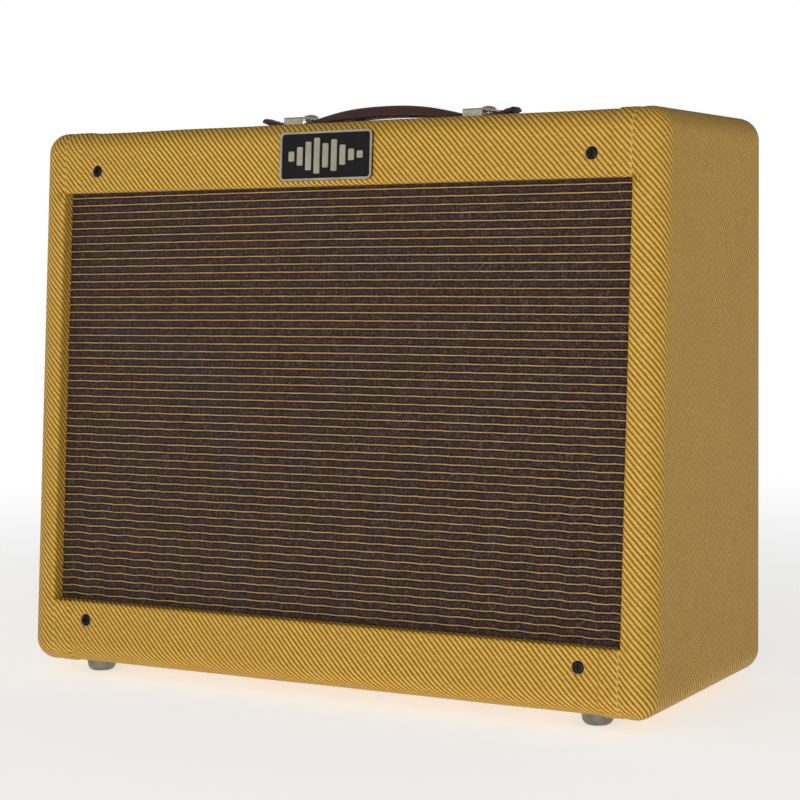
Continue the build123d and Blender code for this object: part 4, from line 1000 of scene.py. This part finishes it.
def stitches(name, places, body):
    """Short rounded stitches; places holds (middle, direction) pairs."""
    points, faces = [], []
    for middle, direction in places:
        start = len(points)
        side = Vector((0, 1, 0))
        up = direction.cross(side).normalized()
        for along, size in STITCH:
            for k in range(6):
                a = k * math.pi / 3
                offset = side * math.cos(a) * size * MM + up * math.sin(a) * size * MM
                points.append(middle + direction * along * MM + offset)
        for ring in range(4):
            for k in range(6):
                a, b = start + ring * 6 + k, start + ring * 6 + (k + 1) % 6
                faces.append((a, b, b + 6, a + 6))
        faces.append(tuple(start + k for k in range(6))[::-1])
        faces.append(tuple(start + 24 + k for k in range(6)))
    return mesh_piece(name, points, faces, slot="leather", body=body, material="stitch")


def stitch_places(sign, first, last, centre_z, shape):
    """Stitches along both welts of a stretch of strap."""
    places = []
    for x in np.arange(first, last, STITCH_PITCH):
        y, z, _ = strap_section(*shape(x))[WELT]
        direction = Vector((sign, 0, slope_at(centre_z, x))).normalized()
        for across in (-y, y):
            places.append((Vector((sign * x, handle_y + across, centre_z(x) + z + 0.12 * MM)), direction))
    return places


for sign, side in ((1, "right"), (-1, "left")):
    places = stitch_places(sign, 3 * MM, inner_end - 4 * MM, grip_z, grip_shape)
    bend_at_cap(stitches("strap_stitches_" + side, places, body=None))
    places = stitch_places(sign, 86 * MM, tip_x - 5 * MM, tail_z, tail_shape)
    stitches("tail_stitches_" + side, places, body="strap_tail_" + side)


def flexing_ring(name, node):
    """A copy of the ring between the speaker's frame and its cone, which stands in for the CAD node and hides
    it."""
    source = frame["nodes"][node]
    points = [source.matrix_world @ v.co for v in source.data.vertices]
    faces = [tuple(p.vertices) for p in source.data.polygons]
    ring = mesh_piece(name, points, faces, slot=slot_of[node], body=None)
    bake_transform(ring)
    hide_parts(node)


flexing_ring("spider_ring", "speaker_spider")
flexing_ring("surround_ring", "speaker_surround")


# ---- printed dials on the control panel
def dials():
    """The numbers 1 to 12 round each knob, as thin printed shapes."""
    reach = 19.6 * MM
    made = []
    for joint in frame["record"]["behaviour"]["joints"]:
        if joint["name"] not in ("tone_turn", "volume_1_turn", "volume_2_turn"):
            continue
        for number in range(1, 13):
            turn = math.radians(-60 - (number - 1) * 300 / 11)
            curve = bpy.data.curves.new("dial_number", "FONT")
            curve.body = str(number)
            curve.size = 3.6 * MM
            curve.align_x = "CENTER"
            curve.align_y = "CENTER"
            curve.extrude = 0.04 * MM
            letter = placed("dial_number", curve)
            letter.location = (joint["pos_m"][0] + reach * math.cos(turn), control_y + reach * math.sin(turn),
                               panel_z + 0.06 * MM)
            made.append(letter)
    bpy.context.view_layer.update()
    work = bmesh.new()
    graph = bpy.context.evaluated_depsgraph_get()
    for letter in made:
        mesh = bpy.data.meshes.new_from_object(letter.evaluated_get(graph))
        mesh.transform(letter.matrix_world)
        work.from_mesh(mesh)
        bpy.data.meshes.remove(mesh)
    for letter in made:
        bpy.data.objects.remove(letter)
    mesh = bpy.data.meshes.new("panel_dial_numbers")
    work.to_mesh(mesh)
    work.free()
    mesh.materials.clear()
    mesh.materials.append(materials["print"])
    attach(placed("panel_dial_numbers", mesh), "root")


dials()


# ---- floor, light and camera
def stage_floor():
    """Pale floor that brightens into the white background, so no horizon shows."""
    mesh = bpy.data.meshes.new("studio_floor")
    size = 30.0
    corners = [(-size, -size, 0), (size, -size, 0), (size, size, 0), (-size, size, 0)]
    mesh.from_pydata(corners, [], [(0, 1, 2, 3)])
    s = Shader("studio_floor")
    where = s.node("TexCoord").outputs["Object"]
    reach = s.node("VectorMath", {0: where}, operation="LENGTH").outputs["Value"]
    far = s.remap(reach, 0.45, 1.6, 0.0, 1.0, "SMOOTHSTEP")
    pale = s.blend(s.noise(where, 3.0), (0.80, 0.80, 0.80, 1), (0.83, 0.83, 0.83, 1))
    s.set(Base_Color=s.blend(far, pale, (0, 0, 0, 1)), Roughness=0.9, Specular_IOR_Level=0.05)
    s.set(Emission_Color=(1, 1, 1, 1), Emission_Strength=s.remap(far, 0.0, 1.0, 0.58, 1.0))
    mesh.materials.append(s.material)
    placed("studio_floor", mesh)


def key_light():
    """A wide soft light, low in front of the amplifier and to its right."""
    light = bpy.data.lights.new("key", "AREA")
    light.shape = "RECTANGLE"
    light.size, light.size_y = 1.5, 0.4
    light.energy = 28.0
    light.color = (1.0, 0.98, 0.95)
    lamp = placed("key", light)
    place, target = Vector((0.72, -2.12, 0.10)), Vector((0, 0, 0.12))
    lamp.location = place
    lamp.rotation_euler = (target - place).to_track_quat("-Z", "Y").to_euler()


def studio_world():
    """White to the camera; as light it is brightest from the front left, dim overhead and on the right."""
    world = bpy.data.worlds.new("studio")
    bpy.context.scene.world = world
    s = Nodes(world, "Background")
    x, y, z = s.node("SeparateXYZ", {0: s.node("TexCoord").outputs["Generated"]}).outputs
    facing = s.plus(s.times(x, -0.75), s.times(y, -0.66))
    round_about = s.remap(facing, -0.9, 0.9, 0.41, 0.65, "SMOOTHSTEP")
    overhead = s.remap(z, 0.10, 0.65, 1.0, 0.50, "SMOOTHSTEP")
    light = s.times(round_about, overhead)
    seen = s.node("LightPath").outputs["Is Camera Ray"]
    shown = s.plus(s.times(light, s.calc("SUBTRACT", 1.0, seen)), seen)
    s.set(Strength=shown, Color=(1, 1, 1, 1))


# Fitted to the case's corners, opening, screws and feet in the photograph; angles in radians, lens in mm.
CAMERA_PLACE = Vector((0.75562, -1.31866, 0.30962))
CAMERA_YAW = 0.51387
CAMERA_PITCH = -0.06904
CAMERA_ROLL = -0.010807
CAMERA_LENS = 92.626


def camera():
    data = bpy.data.cameras.new("camera")
    data.sensor_width = 36.0
    data.lens = CAMERA_LENS
    data.clip_start = 0.05
    data.clip_end = 100.0
    cam = placed("camera", data)
    level = math.cos(CAMERA_PITCH)
    forward = Vector((-math.sin(CAMERA_YAW) * level, math.cos(CAMERA_YAW) * level, math.sin(CAMERA_PITCH)))
    right = forward.cross(Vector((0, 0, 1))).normalized()
    up = right.cross(forward)
    c, n = math.cos(CAMERA_ROLL), math.sin(CAMERA_ROLL)
    right, up = right * c + up * n, up * c - right * n
    cam.matrix_world = Matrix.Translation(CAMERA_PLACE) @ Matrix((right, up, -forward)).transposed().to_4x4()
    bpy.context.scene.camera = cam


stage_floor()
studio_world()
key_light()
camera()
bpy.context.scene.view_settings.view_transform = "Standard"
